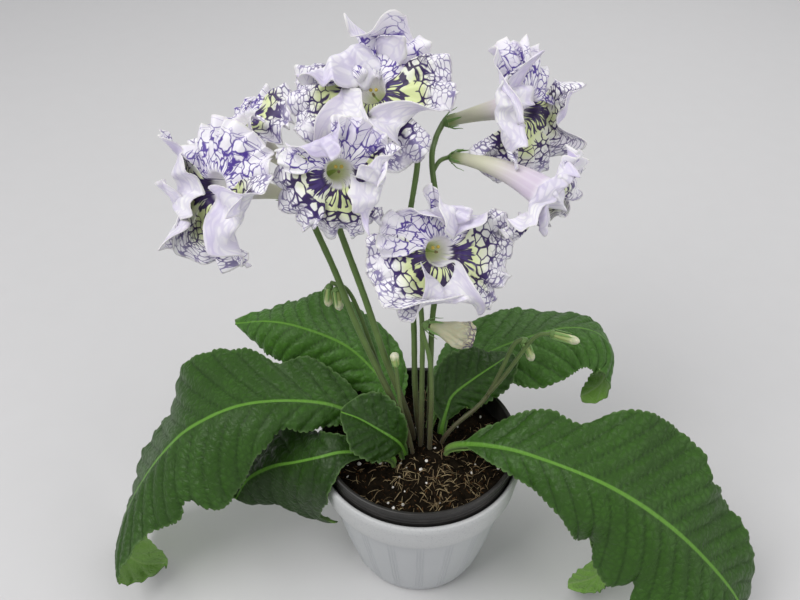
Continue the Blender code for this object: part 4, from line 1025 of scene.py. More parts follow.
def strew_fibres(parts, look):
    """Bent straws lying on the soil, nearly half of them towards the front: each a thin bar whose
    middle is lifted a little."""
    rng = np.random.default_rng(FIBRE_SEED)
    steps = np.linspace(-0.5, 0.5, 6)
    for _ in range(look.fibre_count):
        reach = SOIL_RADIUS * 0.93 * math.sqrt(rng.uniform(0.02, 1))
        turn = rng.uniform(0, 2 * math.pi) if rng.uniform() < 0.55 else rng.normal(-1.2, 0.7)
        heading, bend = rng.uniform(0, 2 * math.pi), rng.uniform(-0.7, 0.7)
        length = rng.uniform(2, 10) * MM
        angle = heading + bend * steps
        x = reach * math.cos(turn) + np.cumsum(np.cos(angle)) * length / 6
        y = reach * math.sin(turn) + np.cumsum(np.sin(angle)) * length / 6
        out = np.hypot(x, y).max()
        if out > SOIL_RADIUS - 1 * MM:
            continue
        lift = rng.uniform(0.1, 1.0) * MM + rng.uniform(0, 1.2) * MM * (1 - (2 * steps) ** 2)
        path = np.column_stack([x, y, soil_height(x, y, look) + lift])
        girth = rng.uniform(0.12, 0.42) * MM
        points, quads = rod(path, [girth * 0.6, girth, girth * 0.5], 4, squash=0.5)
        parts.add(points, quads, 1, age=rng.uniform(0, 1))


def strew_grains(parts, look):
    """White and brown grains: small rounded lumps, half sunk, each squeezed its own way."""
    rng = np.random.default_rng(GRAIN_SEED)
    for k in range(look.grain_count):
        white = k % 3 == 0
        reach = SOIL_RADIUS * 0.94 * math.sqrt(rng.uniform(0.01, 1))
        turn = rng.uniform(0, 2 * math.pi)
        x, y = reach * math.cos(turn), reach * math.sin(turn)
        size = rng.uniform(0.35, 1.3) * MM * (1.0 if white else 1.3)
        height = np.linspace(-0.95, 0.95, 6)
        path = np.column_stack([np.full(6, x), np.full(6, y),
                                height * size * rng.uniform(0.5, 0.9)])
        path[:, 2] += float(soil_height(np.array(x), np.array(y), look)) + size * 0.2
        points, quads = rod(path, size * np.sqrt(1 - height**2), 8, squash=rng.uniform(0.6, 1.0),
                            hint=(math.cos(turn * 5), math.sin(turn * 5), 0.01))
        points = points + rng.normal(0, size * 0.09, points.shape)
        parts.add(points, quads, 2 if white else 0)


def blade_shape(share, pointed):
    """Half width along the blade as a share: tapered base, broad middle, round or pointed tip."""
    if pointed:
        return share**0.62 * (1 - share**2.2) ** 0.85 / 0.55
    return share**0.62 * (1 - share**3.2) ** 0.55 / 0.67


def leaf_piece(name, leaf, tone, look, finishes):
    """A blade swept along its midrib, each half leaving it at its own angle, as in the solid.
    On that surface lie the side veins, lines of equal w = v - slant |x| + 4 x^2 that sink into
    creases one spacing apart, pillows between them, small quilting, a grooved midrib, and a margin
    cut into round teeth, whose reach gains depth times a dome in each tooth's length."""
    length = path_length(smooth_path(np.array(leaf["midrib"]) * MM, 200))
    rows = int(length / look.row_step)
    path = smooth_path(np.array(leaf["midrib"]) * MM, rows)
    outward = path[-1] - path[0]
    _, side, normal = frames(path, (-outward[0], -outward[1], np.hypot(outward[0], outward[1])))
    share = np.linspace(0, 1, rows)
    blade = np.clip((share - leaf["petiole"]) / (1 - leaf["petiole"]), 0, 1)
    even = np.linspace(-1, 1, look.leaf_columns)
    q = even * (1.32 - 0.32 * even**2)
    is_left = q < 0
    least = np.interp(share, [0, leaf["petiole"], 0.9, 1],
                      [PETIOLE_HALF_WIDTH, PETIOLE_HALF_WIDTH, 2 * TIP_HALF_WIDTH, TIP_HALF_WIDTH])
    full = blade_shape(blade, leaf.get("pointed", False)) * leaf["half_width"] * MM
    reach, angle = [], []
    for half in ("left", "right"):
        reach.append(np.maximum(full * eased(share, STATIONS, leaf[half + "_fill"]), least))
        angle.append(np.radians(eased(share, STATIONS, leaf[half + "_bend"])))
    along = share * length
    seed = sum(map(ord, name))
    widths = np.where(is_left, reach[0][:, None], reach[1][:, None])
    growth = ramped(widths, 3 * MM, 12 * MM)
    uneven = rumple(along[:, None] * 160, q * 0.6, seed)
    tooth = (along[:, None] / look.tooth_length + 0.22 * uneven + np.where(is_left, 0.3, 0)) % 1
    dome = 1 - np.abs(2 * tooth**0.85 - 1) ** 2.6
    swing = look.tooth_depth * (0.75 + 0.35 * uneven)
    widths = widths + growth * (dome - 0.5) * swing * np.abs(q) ** 9
    drift = rumple(along[:, None] * 70, q * 0.2, seed + 3) * 1.6 * MM
    widths = widths + growth * drift * np.abs(q) ** 3
    for half, place_share, width, depth in leaf.get("notches", []):
        cut = bell(share[:, None], place_share, width) * depth * MM * np.abs(q) ** 2
        widths = widths - np.where((q < 0) == (half < 0), cut, 0)
    across = widths * q
    angle = np.where(is_left, angle[0][:, None], angle[1][:, None]) * (0.55 + 0.45 * np.abs(q))
    turn = 2 * math.pi * leaf["waves"] * share[:, None] + np.where(is_left, 0, HALF_PHASE)
    wave = leaf["ruffle"] * MM * np.sin(turn) * np.abs(q) ** 1.5 * np.minimum(1, 3 * blade)[:, None]
    frill = rumple(along[:, None] * 260, q * 0.4, seed + 7) * look.frill * np.abs(q) ** 5 * growth
    spacing = np.interp(leaf["half_width"], [13, 60], [0.45, 1.0]) * look.vein_spacing
    x = np.abs(across)
    slant = along[:, None] - x * look.vein_slant + 4.0 * x**2
    phase = slant / spacing + np.where(is_left, 0.5, 0)
    phase = phase + 0.16 * rumple(along[:, None] * 24, x * 24, seed)
    crown = -np.cos(2 * math.pi * phase) * np.abs(q) ** 2.5 * look.margin_crown * growth
    wave = wave + frill + crown * spacing / look.vein_spacing
    lift = np.abs(across) * np.sin(angle) + wave * np.cos(angle)
    spread = across * np.cos(angle) - wave * np.sin(angle) * np.sign(q)
    middle = path[:, None] + side[:, None] * spread[..., None] + normal[:, None] * lift[..., None]
    upward = unit(np.cross(np.gradient(middle, axis=1), np.gradient(middle, axis=0)) + 1e-15)
    off = np.abs((phase + 0.5) % 1 - 0.5) * spacing
    vein = np.exp(-(off / (0.65 * MM)) ** 2) * growth * (1 - ramped(np.abs(q), 0.9, 1.0))
    pillow = (1 - np.exp(-(off / (2.1 * MM)) ** 2)) * growth * (1 - 0.7 * np.abs(q) ** 4)
    quilt = rumple(across * 900 + phase * 2, along[:, None] * 900, seed + 11, 2) * growth
    away = 1 - np.exp(-(across / (5 * MM)) ** 2)
    rib = np.exp(-(across / (1.4 * MM)) ** 2) * (1 - 0.5 * share[:, None])
    relief = ((pillow - 0.6) * look.vein_depth + quilt * look.quilt_depth) * away
    relief = relief - rib * look.rib_groove
    middle = middle + upward * relief[..., None]
    below = RIB_DEPTH * np.interp(share, [0, leaf["petiole"], 0.6, 1], RIB_SHARES)
    below = below[:, None] * np.exp(-(across / RIB_WIDTH) ** 2) + BLADE / 2
    above = BLADE / 2 * np.ones_like(below)
    edge = 1 - 0.45 * np.abs(q) ** 12
    points, top, bottom, walls = thicken(middle.reshape(-1, 3), grid_quads(*middle.shape[:2]),
                                         (above * edge).ravel(), (below * edge).ravel())
    ribbed = np.exp(-(across / (np.interp(share, [0, 0.3, 1], [2.7, 1.5, 0.7])[:, None] * MM)) ** 2)
    rim = np.exp(-((1 - np.abs(q)) * widths / (0.7 * MM)) ** 2)
    fields = {"rib": ribbed, "vein": vein, "rim": rim, "along": share[:, None] * np.ones_like(q)}
    fields = {key: np.tile(np.ravel(values), 2) for key, values in fields.items()}
    fields["tone"] = tone
    flat = np.tile(np.stack([across, along[:, None] * np.ones_like(q)], 2).reshape(-1, 2), (2, 1))
    piece = put_mesh(name + "_look", points, [np.vstack([top, walls]), bottom], finishes, fields,
                     flat)
    place(piece, "leaf", name)


def bloom_axis(bloom, count, start=0.0, end=1.0):
    """The tube's centre line, a curve from its foot that reaches the mouth along the facing."""
    foot, mouth = np.array(bloom["foot"]) * MM, np.array(bloom["mouth"]) * MM
    facing = unit(np.array(bloom["facing"], float))
    bend = mouth - facing * (np.linalg.norm(mouth - foot) * TUBE_BEND)
    share = np.linspace(start, end, count)[:, None]
    return (1 - share) ** 2 * foot + 2 * share * (1 - share) * bend + share**2 * mouth


def directions_of(along, hint):
    """The direction, the upper one nearest the hint, and right as seen by a viewer facing it."""
    along, hint = unit(np.array(along, float)), np.array(hint, float)
    upper = unit(hint - along * (hint @ along))
    return along, upper, np.cross(upper, along)


def bell(x, centre, width):
    return np.exp(-(((x - centre) / width) ** 2))


def lobe_grid(bloom, number, directions, look, seed):
    """Points out one lobe, rows by columns. A point leaves the throat at the lobe's lean, curls as
    it goes out, and is moved off the lobe by waves: the solid's own ruffles, then a finer frill
    that only the margin has. The lobe is widened past its clefts, and its sides roll up there. A
    fold rolls the end round t over by its degrees, all of it the same way, so that the flap keeps
    its width. A roll of angle a moves the points by the sums of (cos(lean + a) - cos lean) and
    (sin(lean + a) - sin lean) over the length."""
    facing, upper, right = directions
    centre, reach = LOBES[number]
    out = (np.arange(1, look.lobe_rows + 1) / look.lobe_rows)[:, None] ** 0.85
    t = np.linspace(-1, 1, look.lobe_columns + 1)
    column = (t + 1) * SOLID_COLUMNS / 2
    turn = 2.3 * number + bloom["radius"]
    ripple = -np.cos(math.pi * column) * (0.8 + 0.2 * np.sin(1.7 * column + turn))
    swell = SWELL * np.sin(1.1 * math.pi * t + turn)
    outline = look.cleft_reach + (1 - look.cleft_reach) * (1 - np.abs(t) ** 2.6) ** 0.6
    frill_turn = math.pi * column * 2.1 + 1.6 * np.sin(column * 1.3 + seed) + 3 * out
    frill = np.sin(frill_turn) * (0.7 + 0.45 * np.sin(column * 1.9 + seed * 3))
    fringe = rumple(column * 7 + seed, out * 4, seed) * out**8
    length = (bloom["radius"] * MM * reach - THROAT_RADIUS) * out * outline
    length = length * (1 + SCALLOP * ripple * out) + look.fringe * fringe
    lip = look.lip_angle * np.exp(-(out / 0.13) ** 2)
    angle = np.radians(bloom["lean"][number] + bloom["curl"] * out + lip)
    sway = look.ruffle_sway * np.sin(2 * math.pi * column + turn) * out**3
    wide = (1 - CLEFT_GAP * (0.3 + 0.7 * out)) * (1 + look.lobe_overlap * ramped(out, 0.05, 0.55))
    around = np.radians(centre + (t * wide + sway * (1 - t**2)) * LOBE_HALF_ANGLE)
    roll, folded = np.zeros_like(length), 0.0
    for lobe, place_t, width, degrees in bloom.get("folds", []):
        if lobe == number:
            share = bell(t, place_t, width)
            roll = np.radians(degrees) * share * ramped(out, FOLD_START, FOLD_END)
            folded = math.radians(centre + place_t * LOBE_HALF_ANGLE / 2)
            length = length * (1 + look.fold_growth * share * out**2)
    steps = np.diff(length, axis=0, prepend=0)
    rolled_far = np.cumsum((np.cos(angle + roll) - np.cos(angle)) * steps, 0)
    rolled_lift = np.cumsum((np.sin(angle + roll) - np.sin(angle)) * steps, 0)
    wave = (ripple * out**RUFFLE_POWER * 1.15 + swell * out) * bloom["ruffle"] * MM
    wave = wave + frill * out**4 * look.petal_frill
    wave = wave + rumple(t * 4, out * 4, seed + 5) * 1.2 * MM * out
    wave = wave - look.lobe_tilt * t * ramped(out, 0.2, 0.9)
    far = THROAT_RADIUS + length * np.cos(angle) - wave * np.sin(angle)
    lift = length * np.sin(angle) + wave * np.cos(angle) + rolled_lift
    middle_column = look.lobe_columns // 2
    across = np.diff(around, axis=1, prepend=around[:, :1]) * np.abs(far)
    for inward, sign in ((slice(middle_column, None), 1), (slice(middle_column, None, -1), -1)):
        share = 0.8 + 0.5 * math.sin(2.9 * number + 1.7 * sign + bloom["radius"])
        tuck = np.radians(look.edge_roll * share) * (0.85 + 0.3 * np.sin(5 * out + turn * sign))
        tuck = tuck * ramped(np.abs(t[inward]), 0.66, 0.98) * ramped(out, 0.12, 0.5)
        run = np.abs(across[:, inward])
        lift[:, inward] += np.cumsum(np.sin(tuck) * run, 1)
        around[:, inward] += sign * np.cumsum((np.cos(tuck) - 1) * run, 1) / np.maximum(
            far[:, inward], THROAT_RADIUS)
    flat = upper * np.cos(around)[..., None] + right * np.sin(around)[..., None]
    points = np.array(bloom["mouth"]) * MM + flat * far[..., None] + facing * lift[..., None]
    points = points + (upper * math.cos(folded) + right * math.sin(folded)) * rolled_far[..., None]
    polar = np.radians(centre + t * LOBE_HALF_ANGLE) * np.ones_like(out)
    return points, out * np.ones_like(t), polar, THROAT_RADIUS + np.maximum(length, 0)


def bloom_piece(name, bloom, number, look, finishes):
    """A trumpet whose rings grow from the foot to the throat, and five ruffled lobes on its rim.
    The pattern's flat map unrolls each lobe: (r sin a, r cos a) at distance r and turn a."""
    directions = directions_of(bloom["facing"], bloom["upper"])
    _, upper, right = directions
    columns = len(LOBES) * look.lobe_columns
    axis = bloom_axis(bloom, look.tube_rows)
    _, side, normal = frames(axis, upper)
    share = np.linspace(0, 1, look.tube_rows)[:, None]
    radius = TUBE_FOOT_RADIUS + (THROAT_RADIUS - TUBE_FOOT_RADIUS) * share**TUBE_FLARE
    first_turn = LOBES[0][0] - LOBE_HALF_ANGLE
    turn = np.radians(first_turn + np.arange(columns) * (360 / columns))
    ring = normal[:, None] * np.cos(turn)[:, None] - side[:, None] * np.sin(turn)[:, None]
    exact = upper * np.cos(turn)[:, None] + right * np.sin(turn)[:, None]
    blend = (share**6)[..., None]
    ring = unit(ring * (1 - blend) + exact[None] * blend)
    fold = 1 + 0.035 * np.cos(5 * (turn - math.radians(LOBES[0][0]))) * ramped(share, 0.4, 1.0)
    tube = axis[:, None] + ring * (radius * np.where(share < 1, fold, 1.0))[..., None]
    points, quads = [tube.reshape(-1, 3)], [grid_quads(look.tube_rows, columns, wrap=True)]
    count, first = look.tube_rows * columns, (look.tube_rows - 1) * columns
    limb, ray = [np.zeros(count)], [np.tile(turn, look.tube_rows)]
    reach, high = [np.repeat(share * THROAT_RADIUS, columns)], []
    is_upper = np.repeat([number in UPPER_LOBES for number in range(len(LOBES))], look.lobe_columns)
    high.append(np.tile(is_upper * 1.0, look.tube_rows))
    depth = np.repeat(share.ravel(), columns)
    for lobe in range(len(LOBES)):
        grid, out, polar, distance = lobe_grid(bloom, lobe, directions, look, 7 * number + lobe)
        index = np.empty((look.lobe_rows + 1, look.lobe_columns + 1), int)
        index[0] = first + (lobe * look.lobe_columns + np.arange(look.lobe_columns + 1)) % columns
        index[1:] = count + np.arange(grid[..., 0].size).reshape(look.lobe_rows, -1)
        quads.append(np.stack([index[:-1, :-1], index[:-1, 1:], index[1:, 1:], index[1:, :-1]],
                              2).reshape(-1, 4))
        points.append(grid.reshape(-1, 3))
        limb.append(out.ravel())
        ray.append(polar.ravel())
        reach.append(distance.ravel())
        high.append(np.full(out.size, 1.0 * (lobe in UPPER_LOBES)))
        count += out.size
    middle, quads = np.vstack(points), np.concatenate(quads)
    limb, ray, reach, high = map(np.concatenate, (limb, ray, reach, high))
    tube_share = np.concatenate([depth, np.ones(count - len(depth))])
    thin = look.petal * (1 - 0.35 * limb)
    points, back, face, walls = thicken(middle, quads[:, ::-1], thin / 2, thin / 2)
    fields = {"limb": limb, "ray": ray, "reach": reach, "upper": high, "tube": tube_share}
    fields = {key: np.tile(values, 2) for key, values in fields.items()}
    fields["tint"] = 0.37 * number
    fields["lime_rim"] = bloom.get("lime_rim", 0.15)
    flat = np.tile(np.stack([reach * np.sin(ray) + 0.21 * number, reach * np.cos(ray)], 1), (2, 1))
    piece = put_mesh(name + "_look", points, [np.vstack([face, walls]), back], finishes, fields,
                     flat)
    place(piece, "petal", name)


def add_turned(parts, foot, along, hint, heights, radii, sides=20, relief=None, **fields):
    """A small turned body: rings of the given radii at the given heights along a direction, at
    foot + height along + radius (upper cos a + right sin a)."""
    along, upper, right = directions_of(along, hint)
    angle = full_turn(sides)
    radius = np.repeat(radii[:, None], sides, 1)
    if relief is not None:
        radius = radius * relief(angle[None], np.linspace(0, 1, len(radii))[:, None])
    ring = upper * np.cos(angle)[:, None] + right * np.sin(angle)[:, None]
    points = (foot + along * heights[:, None])[:, None] + ring * radius[..., None]
    parts.add(points.reshape(-1, 3), tube_quads(len(radii), sides)[:, ::-1], **fields)


def add_calyx(parts, foot, along, hint, look, size=1.0, long=1.0, spread=2.0):
    """A cup under the tube and five lance-shaped sepals that lie along it. A sepal's half width is
    (s + .25)^.35 (1 - s)^.7, its tip turns out by the spread, and it is a closed lens across."""
    add_turned(parts, foot, along, hint, np.array([-3.2, -2.6, -1.6, -0.7, -0.2]) * MM * size,
               np.array([1.1, 1.7, 2.6, 3.1, 2.9]) * MM * size, 20, fresh=0.5)
    along, upper, right = directions_of(along, hint)
    rows, columns = 16, 7
    share = np.linspace(0, 1, rows)[:, None]
    q = np.linspace(-1, 1, columns)
    for k in range(SEPALS):
        turn = math.radians(k * 360 / SEPALS + 56)
        outward = upper * math.cos(turn) + right * math.sin(turn)
        sideways = np.cross(along, outward)
        width = look.sepal_width * size * (0.25 + share) ** 0.35 * (1 - share) ** 0.7
        radius = (3.0 + spread * (ramped(share, 0, 0.5) + 0.6 * share**3)) * MM * size + 0.35 * MM
        radius = radius - 0.10 * width * np.abs(q) + 0 * q
        height = (-0.6 + (look.sepal_length * long / MM + 0.6) * share) * MM * size + 0 * q
        middle = (foot + outward * radius[..., None] + along * height[..., None]
                  + sideways * (width * q)[..., None])
        thick = (0.30 * (1 - 0.6 * np.abs(q)) * (1 - 0.5 * share)) * MM
        points, top, bottom, walls = thicken(middle.reshape(-1, 3), grid_quads(rows, columns),
                                             thick.ravel(), thick.ravel())
        parts.add(points, np.vstack([top, bottom, walls]), 0, fresh=1.0)


def add_bud(parts, tip, along, length, look):
    """A closed bud: a slim club with five soft seams, its radius times 1 - 0.14 |cos 2.5 a|^8, a
    small cup and five sepals at its foot."""
    foot, length = np.array(tip) * MM, length * MM
    share = np.linspace(0, 1, 26)
    knots = [-0.12, 0.1, 0.4, 0.75, 0.95, 1.0]
    radii = np.interp(share * 1.08 - 0.08, knots, np.array([1.3, 2.1, 2.3, 2.7, 2.1, 0.8]) * MM)
    radii = radii * np.sqrt(np.clip(1 - ((share - 0.80) / 0.21).clip(0) ** 2, 0.02, 1))

    def seams(angle, s):
        return 1 - 0.14 * np.abs(np.cos(2.5 * angle + s)) ** 8 * ramped(s, 0.3, 0.8)

    hint, sides = (0.3, 0.8, 0.5), 40
    add_turned(parts, foot, along, hint, (share * 1.04 - 0.04) * length, radii, sides, seams,
               finish=1, tip=np.repeat(share, sides))
    size = min(1.0, length / (14 * MM)) * 0.85
    add_calyx(parts, foot + unit(np.array(along, float)) * 0.8 * MM, along, hint, look, size,
              0.62 * length / (look.sepal_length * size), 0.3)


def add_hairs(parts, path, radius, look, seed):
    """Short straight down all round a stem. A hair is a four-sided spike: two square rings, the
    outer one far smaller, all placed at once from one draw of places, turns and lengths."""
    count = int(path_length(path) / MM * look.hairs_per_mm)
    if count < 2:
        return
    rng = np.random.default_rng(seed)
    where, turn = rng.uniform(0, len(path) - 1.001, count), rng.uniform(0, 2 * math.pi, count)
    low = where.astype(int)
    part = (where - low)[:, None]
    tangent, side, normal = frames(path, (0.3, 1.0, 0.2))
    centre = path[low] * (1 - part) + path[low + 1] * part
    outward = unit(side[low] * np.cos(turn)[:, None] + normal[low] * np.sin(turn)[:, None]
                   + tangent[low] * rng.normal(0, 0.35, count)[:, None])
    first = unit(np.cross(outward, tangent[low]))
    second = np.cross(outward, first)
    long = look.hair_length * rng.uniform(0.5, 1.2, count)[:, None]
    start, end = centre + outward * radius * 0.8, centre + outward * (radius + long)
    corners = [end_point + (first * a + second * b) * girth
               for end_point, girth in ((start, look.hair_width), (end, look.hair_width * 0.3))
               for a, b in ((1, 0), (0, 1), (-1, 0), (0, -1))]
    points = np.stack(corners, 1).reshape(-1, 3)
    one = np.array([[0, 1, 5, 4], [1, 2, 6, 5], [2, 3, 7, 6], [3, 0, 4, 7], [3, 2, 1, 0],
                    [4, 5, 6, 7]])
    quads = (np.arange(count)[:, None, None] * 8 + one[None]).reshape(-1, 4)
    parts.add(points, quads, 0, fresh=0.9)


def knob_point(bloom):
    """Where a pedicel meets the knob under a bloom's foot, in mm."""
    axis = bloom_axis(bloom, 9)
    return tuple((axis[0] - unit(axis[1] - axis[0]) * CUP_DEPTH) / MM)


def add_pistil(parts, bloom):
    """Ovary, style and flat stigma along the tube's centre line, and two joined anthers over it."""
    rings, sides = 40, 12
    axis = bloom_axis(bloom, rings, start=0.02, end=0.86)
    swell = np.array([1.0, 1.35, 1.4, 1.3, 1.1, 0.8, 0.55, 0.5, 0.5, 0.9, 0.5]) * MM
    points, quads = rod(axis, swell, sides)
    tip = np.repeat(ramped(np.linspace(0, 1, rings), 0.85, 0.95), sides)
    parts.add(points, quads, 2, tip=tip)
    facing, upper, right = directions_of(bloom["facing"], bloom["upper"])
    centre = bloom_axis(bloom, 3, start=0.80, end=0.84)[1]
    for sway in (-1, 1):
        foot = centre + upper * 2.6 * MM + right * (sway * 1.1 * MM) - facing * 1.2 * MM
        add_turned(parts, foot, facing + right * (sway * 0.4), upper,
                   np.array([0, 0.4, 1.0, 1.6, 2.0]) * MM, np.array([0.3, 0.8, 1.0, 0.8, 0.3]) * MM,
                   sides, finish=3)


def stalk_piece(name, stalk, look, finishes):
    """A peduncle with its pedicels, cups, sepals, pistils, buds and down."""
    parts = Parts()
    routes = [stalk["path"], *stalk.get("branches", [])]
    for k, key in enumerate(stalk.get("blooms", [])):
        routes[k] = [*routes[k], knob_point(BLOOMS[key])]
    for k, route in enumerate(routes):
        length = path_length(smooth_path(np.array(route) * MM, 60))
        path = smooth_path(np.array(route) * MM, max(8, int(length / (1.6 * MM))))
        girth = STALK_RADIUS * stalk.get("girth", 1.0)
        ends = (girth, girth * 0.92) if k == 0 else (PEDICEL_RADIUS, PEDICEL_RADIUS)
        radii = np.linspace(*ends, len(path))
        radii = radii * (1 + 0.05 * rumple(np.linspace(0, length * 500, len(path)), 0.3, 3 + k))
        points, quads = rod(path, radii, STALK_SIDES)
        parts.add(points, quads, 0, fresh=0.0)
        above = path[path[:, 2] > SOIL_Z + 3 * MM]
        add_hairs(parts, above, ends[1], look, 5 + k + sum(map(ord, name)))
    for key in stalk.get("blooms", []):
        bloom = BLOOMS[key]
        axis = bloom_axis(bloom, 12)
        add_calyx(parts, axis[0], axis[1] - axis[0], bloom["upper"], look)
        if key != "faded":
            add_pistil(parts, bloom)
    for tip, along, length in stalk.get("buds", []):
        add_bud(parts, tip, along, length, look)
    piece = parts.put(name + "_look", finishes)
    place(piece, "stalk", name)


def faded_piece(name, bloom, finish):
    """A spent bloom: the solid's own fallen-in trumpet with finer creases, its end drawn in and
    crumpled, its skin closed by a small cap deep inside."""
    rings, sides = 60, 90
    share = np.linspace(0, 1, rings)
    axis = bloom_axis(bloom, rings, start=0.03)
    turn = full_turn(sides)
    radius = np.interp(share, [0, 0.25, 0.6, 0.8, 1.0], np.array([2.6, 4.2, 7.2, 8.2, 5.4]) * MM)
    _, side, normal = frames(axis, bloom["upper"])
    s = share[:, None]
    crease = 1 + 0.20 * np.sin(3 * turn + 5 * s) * s**0.7 + 0.10 * np.sin(5 * turn - 9 * s) * s
    crease = crease + 0.05 * np.sin(11 * turn + 14 * s) * ramped(s, 0.1, 0.6)
    crease = crease + 0.05 * np.sin(17 * turn - 30 * s + 3 * np.sin(3 * turn)) * ramped(s, 0.4, 0.9)
    ring = normal[:, None] * np.cos(turn)[:, None] - side[:, None] * np.sin(turn)[:, None] * 0.75
    outer = axis[:, None] + ring * (radius[:, None] * crease)[..., None]
    inward = np.linspace(0, 1, 16)[1:]
    back = unit(axis[-1] - axis[-2])
    fold = 1 + 0.5 * np.sin(5 * turn + 2) * (1 - inward[:, None]) * inward[:, None] * 3
    drawn_in = radius[-1] * crease[-1] * (1 - 0.93 * inward[:, None]) * fold
    mouth = (axis[-1] + ring[-1] * drawn_in[..., None]
             + back * ((1.2 * np.sin(math.pi * inward) - 3.2 * inward**2) * MM)[:, None, None])
    grid = np.concatenate([outer, mouth])
    points = grid.reshape(-1, 3)
    count = len(grid)
    quads = np.vstack([grid_quads(count, sides, wrap=True),
                       cap_quads(sides, (count - 1) * sides, False)])[:, ::-1]
    depth = np.repeat(np.concatenate([share * 0.85, 0.85 + 0.15 * inward]), sides)
    half = np.full(len(points), 0.25 * MM)
    points, top, bottom, walls = thicken(points, quads, half, half)
    piece = put_mesh(name + "_look", points, [np.vstack([top, bottom, walls])], [finish],
                     {"tube": np.tile(depth, 2)})
    place(piece, "faded_petal", name)


def floor_piece(look):
    """A pale floor that curves up behind the plant, at y = start + r sin a, z = r (1 - cos a)."""
    curve = np.linspace(0, math.pi / 2, 24)
    bend = look.sweep_radius
    profile = np.vstack([[(-look.floor_size, 0)],
                         np.column_stack([look.sweep_start + bend * np.sin(curve),
                                          bend * (1 - np.cos(curve))]),
                         [(look.sweep_start + bend, look.floor_size)]])
    x = np.array([-look.floor_size, look.floor_size])
    points = np.stack([np.broadcast_to(x, (len(profile), 2)),
                       np.broadcast_to(profile[:, :1], (len(profile), 2)),
                       np.broadcast_to(profile[:, 1:], (len(profile), 2))], 2).reshape(-1, 3)
    finish = Finish("floor", Roughness=0.75)
    grain = finish.noise(finish.spot(), 40.0, 4.0)
    colour = finish.mix(grain, rgba(look.floor_colour, 0.985), rgba(look.floor_colour, 1.015))
    floor = put_mesh("floor", points, [grid_quads(len(profile), 2)],
                     [finish.set(Base_Color=colour)])


def lamp(name, look, location, width, power):
    """A square soft lamp that looks from its location at the plant's middle."""
    light = bpy.data.lights.new(name, "AREA")
    light.shape, light.size, light.energy, light.color = "SQUARE", width, power, look.lamp_colour
    piece = bpy.data.objects.new(name, light)
    toward = unit(np.array(LAMP_AIM) - np.array(location))
    right = unit(np.cross(toward, (0.001, 0.0, 1.0)))
    turned = np.eye(4)
    turned[:3, 0], turned[:3, 1], turned[:3, 2] = right, np.cross(right, toward), -toward
    turned[:3, 3] = location
    piece.matrix_world = Matrix(turned.tolist())
    bpy.context.scene.collection.objects.link(piece)


def camera(look):
    """The photograph's view: from the front, looking along +Y and down by the pitch."""
    data = bpy.data.cameras.new("camera")
    data.lens, data.sensor_width, data.clip_start = look.lens, SENSOR_WIDTH, 0.01
    piece = bpy.data.objects.new("camera", data)
    piece.location = look.camera_place
    piece.rotation_euler = (math.pi / 2 - look.camera_pitch, 0, 0)
    bpy.context.scene.collection.objects.link(piece)
    bpy.context.scene.camera = piece


# Values a user can change

def distance(name, default, description):
    return FloatProperty(name=name, description=description, default=default, min=0.0,
                         unit="LENGTH", subtype="DISTANCE", precision=5)


def colour(name, default, description):
    return FloatVectorProperty(name=name, description=description, default=default, size=3,
                               min=0.0, max=1.0, subtype="COLOR")


def amount(name, default, description):
    return FloatProperty(name=name, description=description, default=default, precision=3)


def whole(name, default, description):
    return IntProperty(name=name, description=description, default=default, min=1)


def rotation(name, default, description):
    return FloatProperty(name=name, description=description, default=default, unit="ROTATION",
                         subtype="ANGLE")


class PotLook(bpy.types.PropertyGroup):
    """Sizes and colours of the two pots"""
    outer_colour: colour("Body", (0.49, 0.505, 0.52), "Outer pot below its collar")
    collar_colour: colour("Collar", (0.53, 0.54, 0.545), "Outer pot's collar")
    # also the painted shade along the ribs
    speck_and_rib_shade_colour: colour("Specks", (0.33, 0.35, 0.38), "Fine specks on the outer pot")
    nursery_colour: colour("Nursery Pot", (0.014, 0.013, 0.012), "Black plastic")
    dust_colour: colour("Dust", (0.050, 0.046, 0.042), "Dust and scuffs on the black plastic")
    rib_groups: whole("Rib Groups", 20, "Groups of three upright ribs round the outer pot")
    rib_gap: distance("Rib Gap", 1.9 * MM, "Between the ribs of one group")
    rib_width: distance("Rib Width", 0.40 * MM, "Half width of one rib")
    rib_height: distance("Rib Height", 0.40 * MM, "How far a rib stands out")
    groove_depth: distance("Groove Depth", 0.45 * MM, "Grooves round the nursery pot's band")
    outer_sides: whole("Sides", 720, "Steps round the outer pot")


class SoilLook(bpy.types.PropertyGroup):
    """Relief, fibres, grains and colours of the soil"""
    peat_colour: colour("Peat", (0.014, 0.010, 0.006), "Peat crumbs")
    # painted shade in the hollows between the crumbs
    hollow_shade_colour: colour("Hollows", (0.004, 0.003, 0.002), "Damp hollows")
    ginger_colour: colour("Threads", (0.20, 0.095, 0.035), "Ginger threads in the peat")
    fibre_colour: colour("Straw", (0.47, 0.38, 0.20), "Dry fibres")
    old_fibre_colour: colour("Old Straw", (0.17, 0.105, 0.05), "Older fibres")
    grain_colour: colour("Perlite", (0.78, 0.76, 0.72), "White grains")
    crumb_height: distance("Crumbs", 0.9 * MM, "Height of the finer crumbs")
    fibre_count: whole("Fibres", 400, "Fibres strewn on the soil")
    grain_count: whole("Grains", 110, "Grains strewn on the soil, a third of them white")


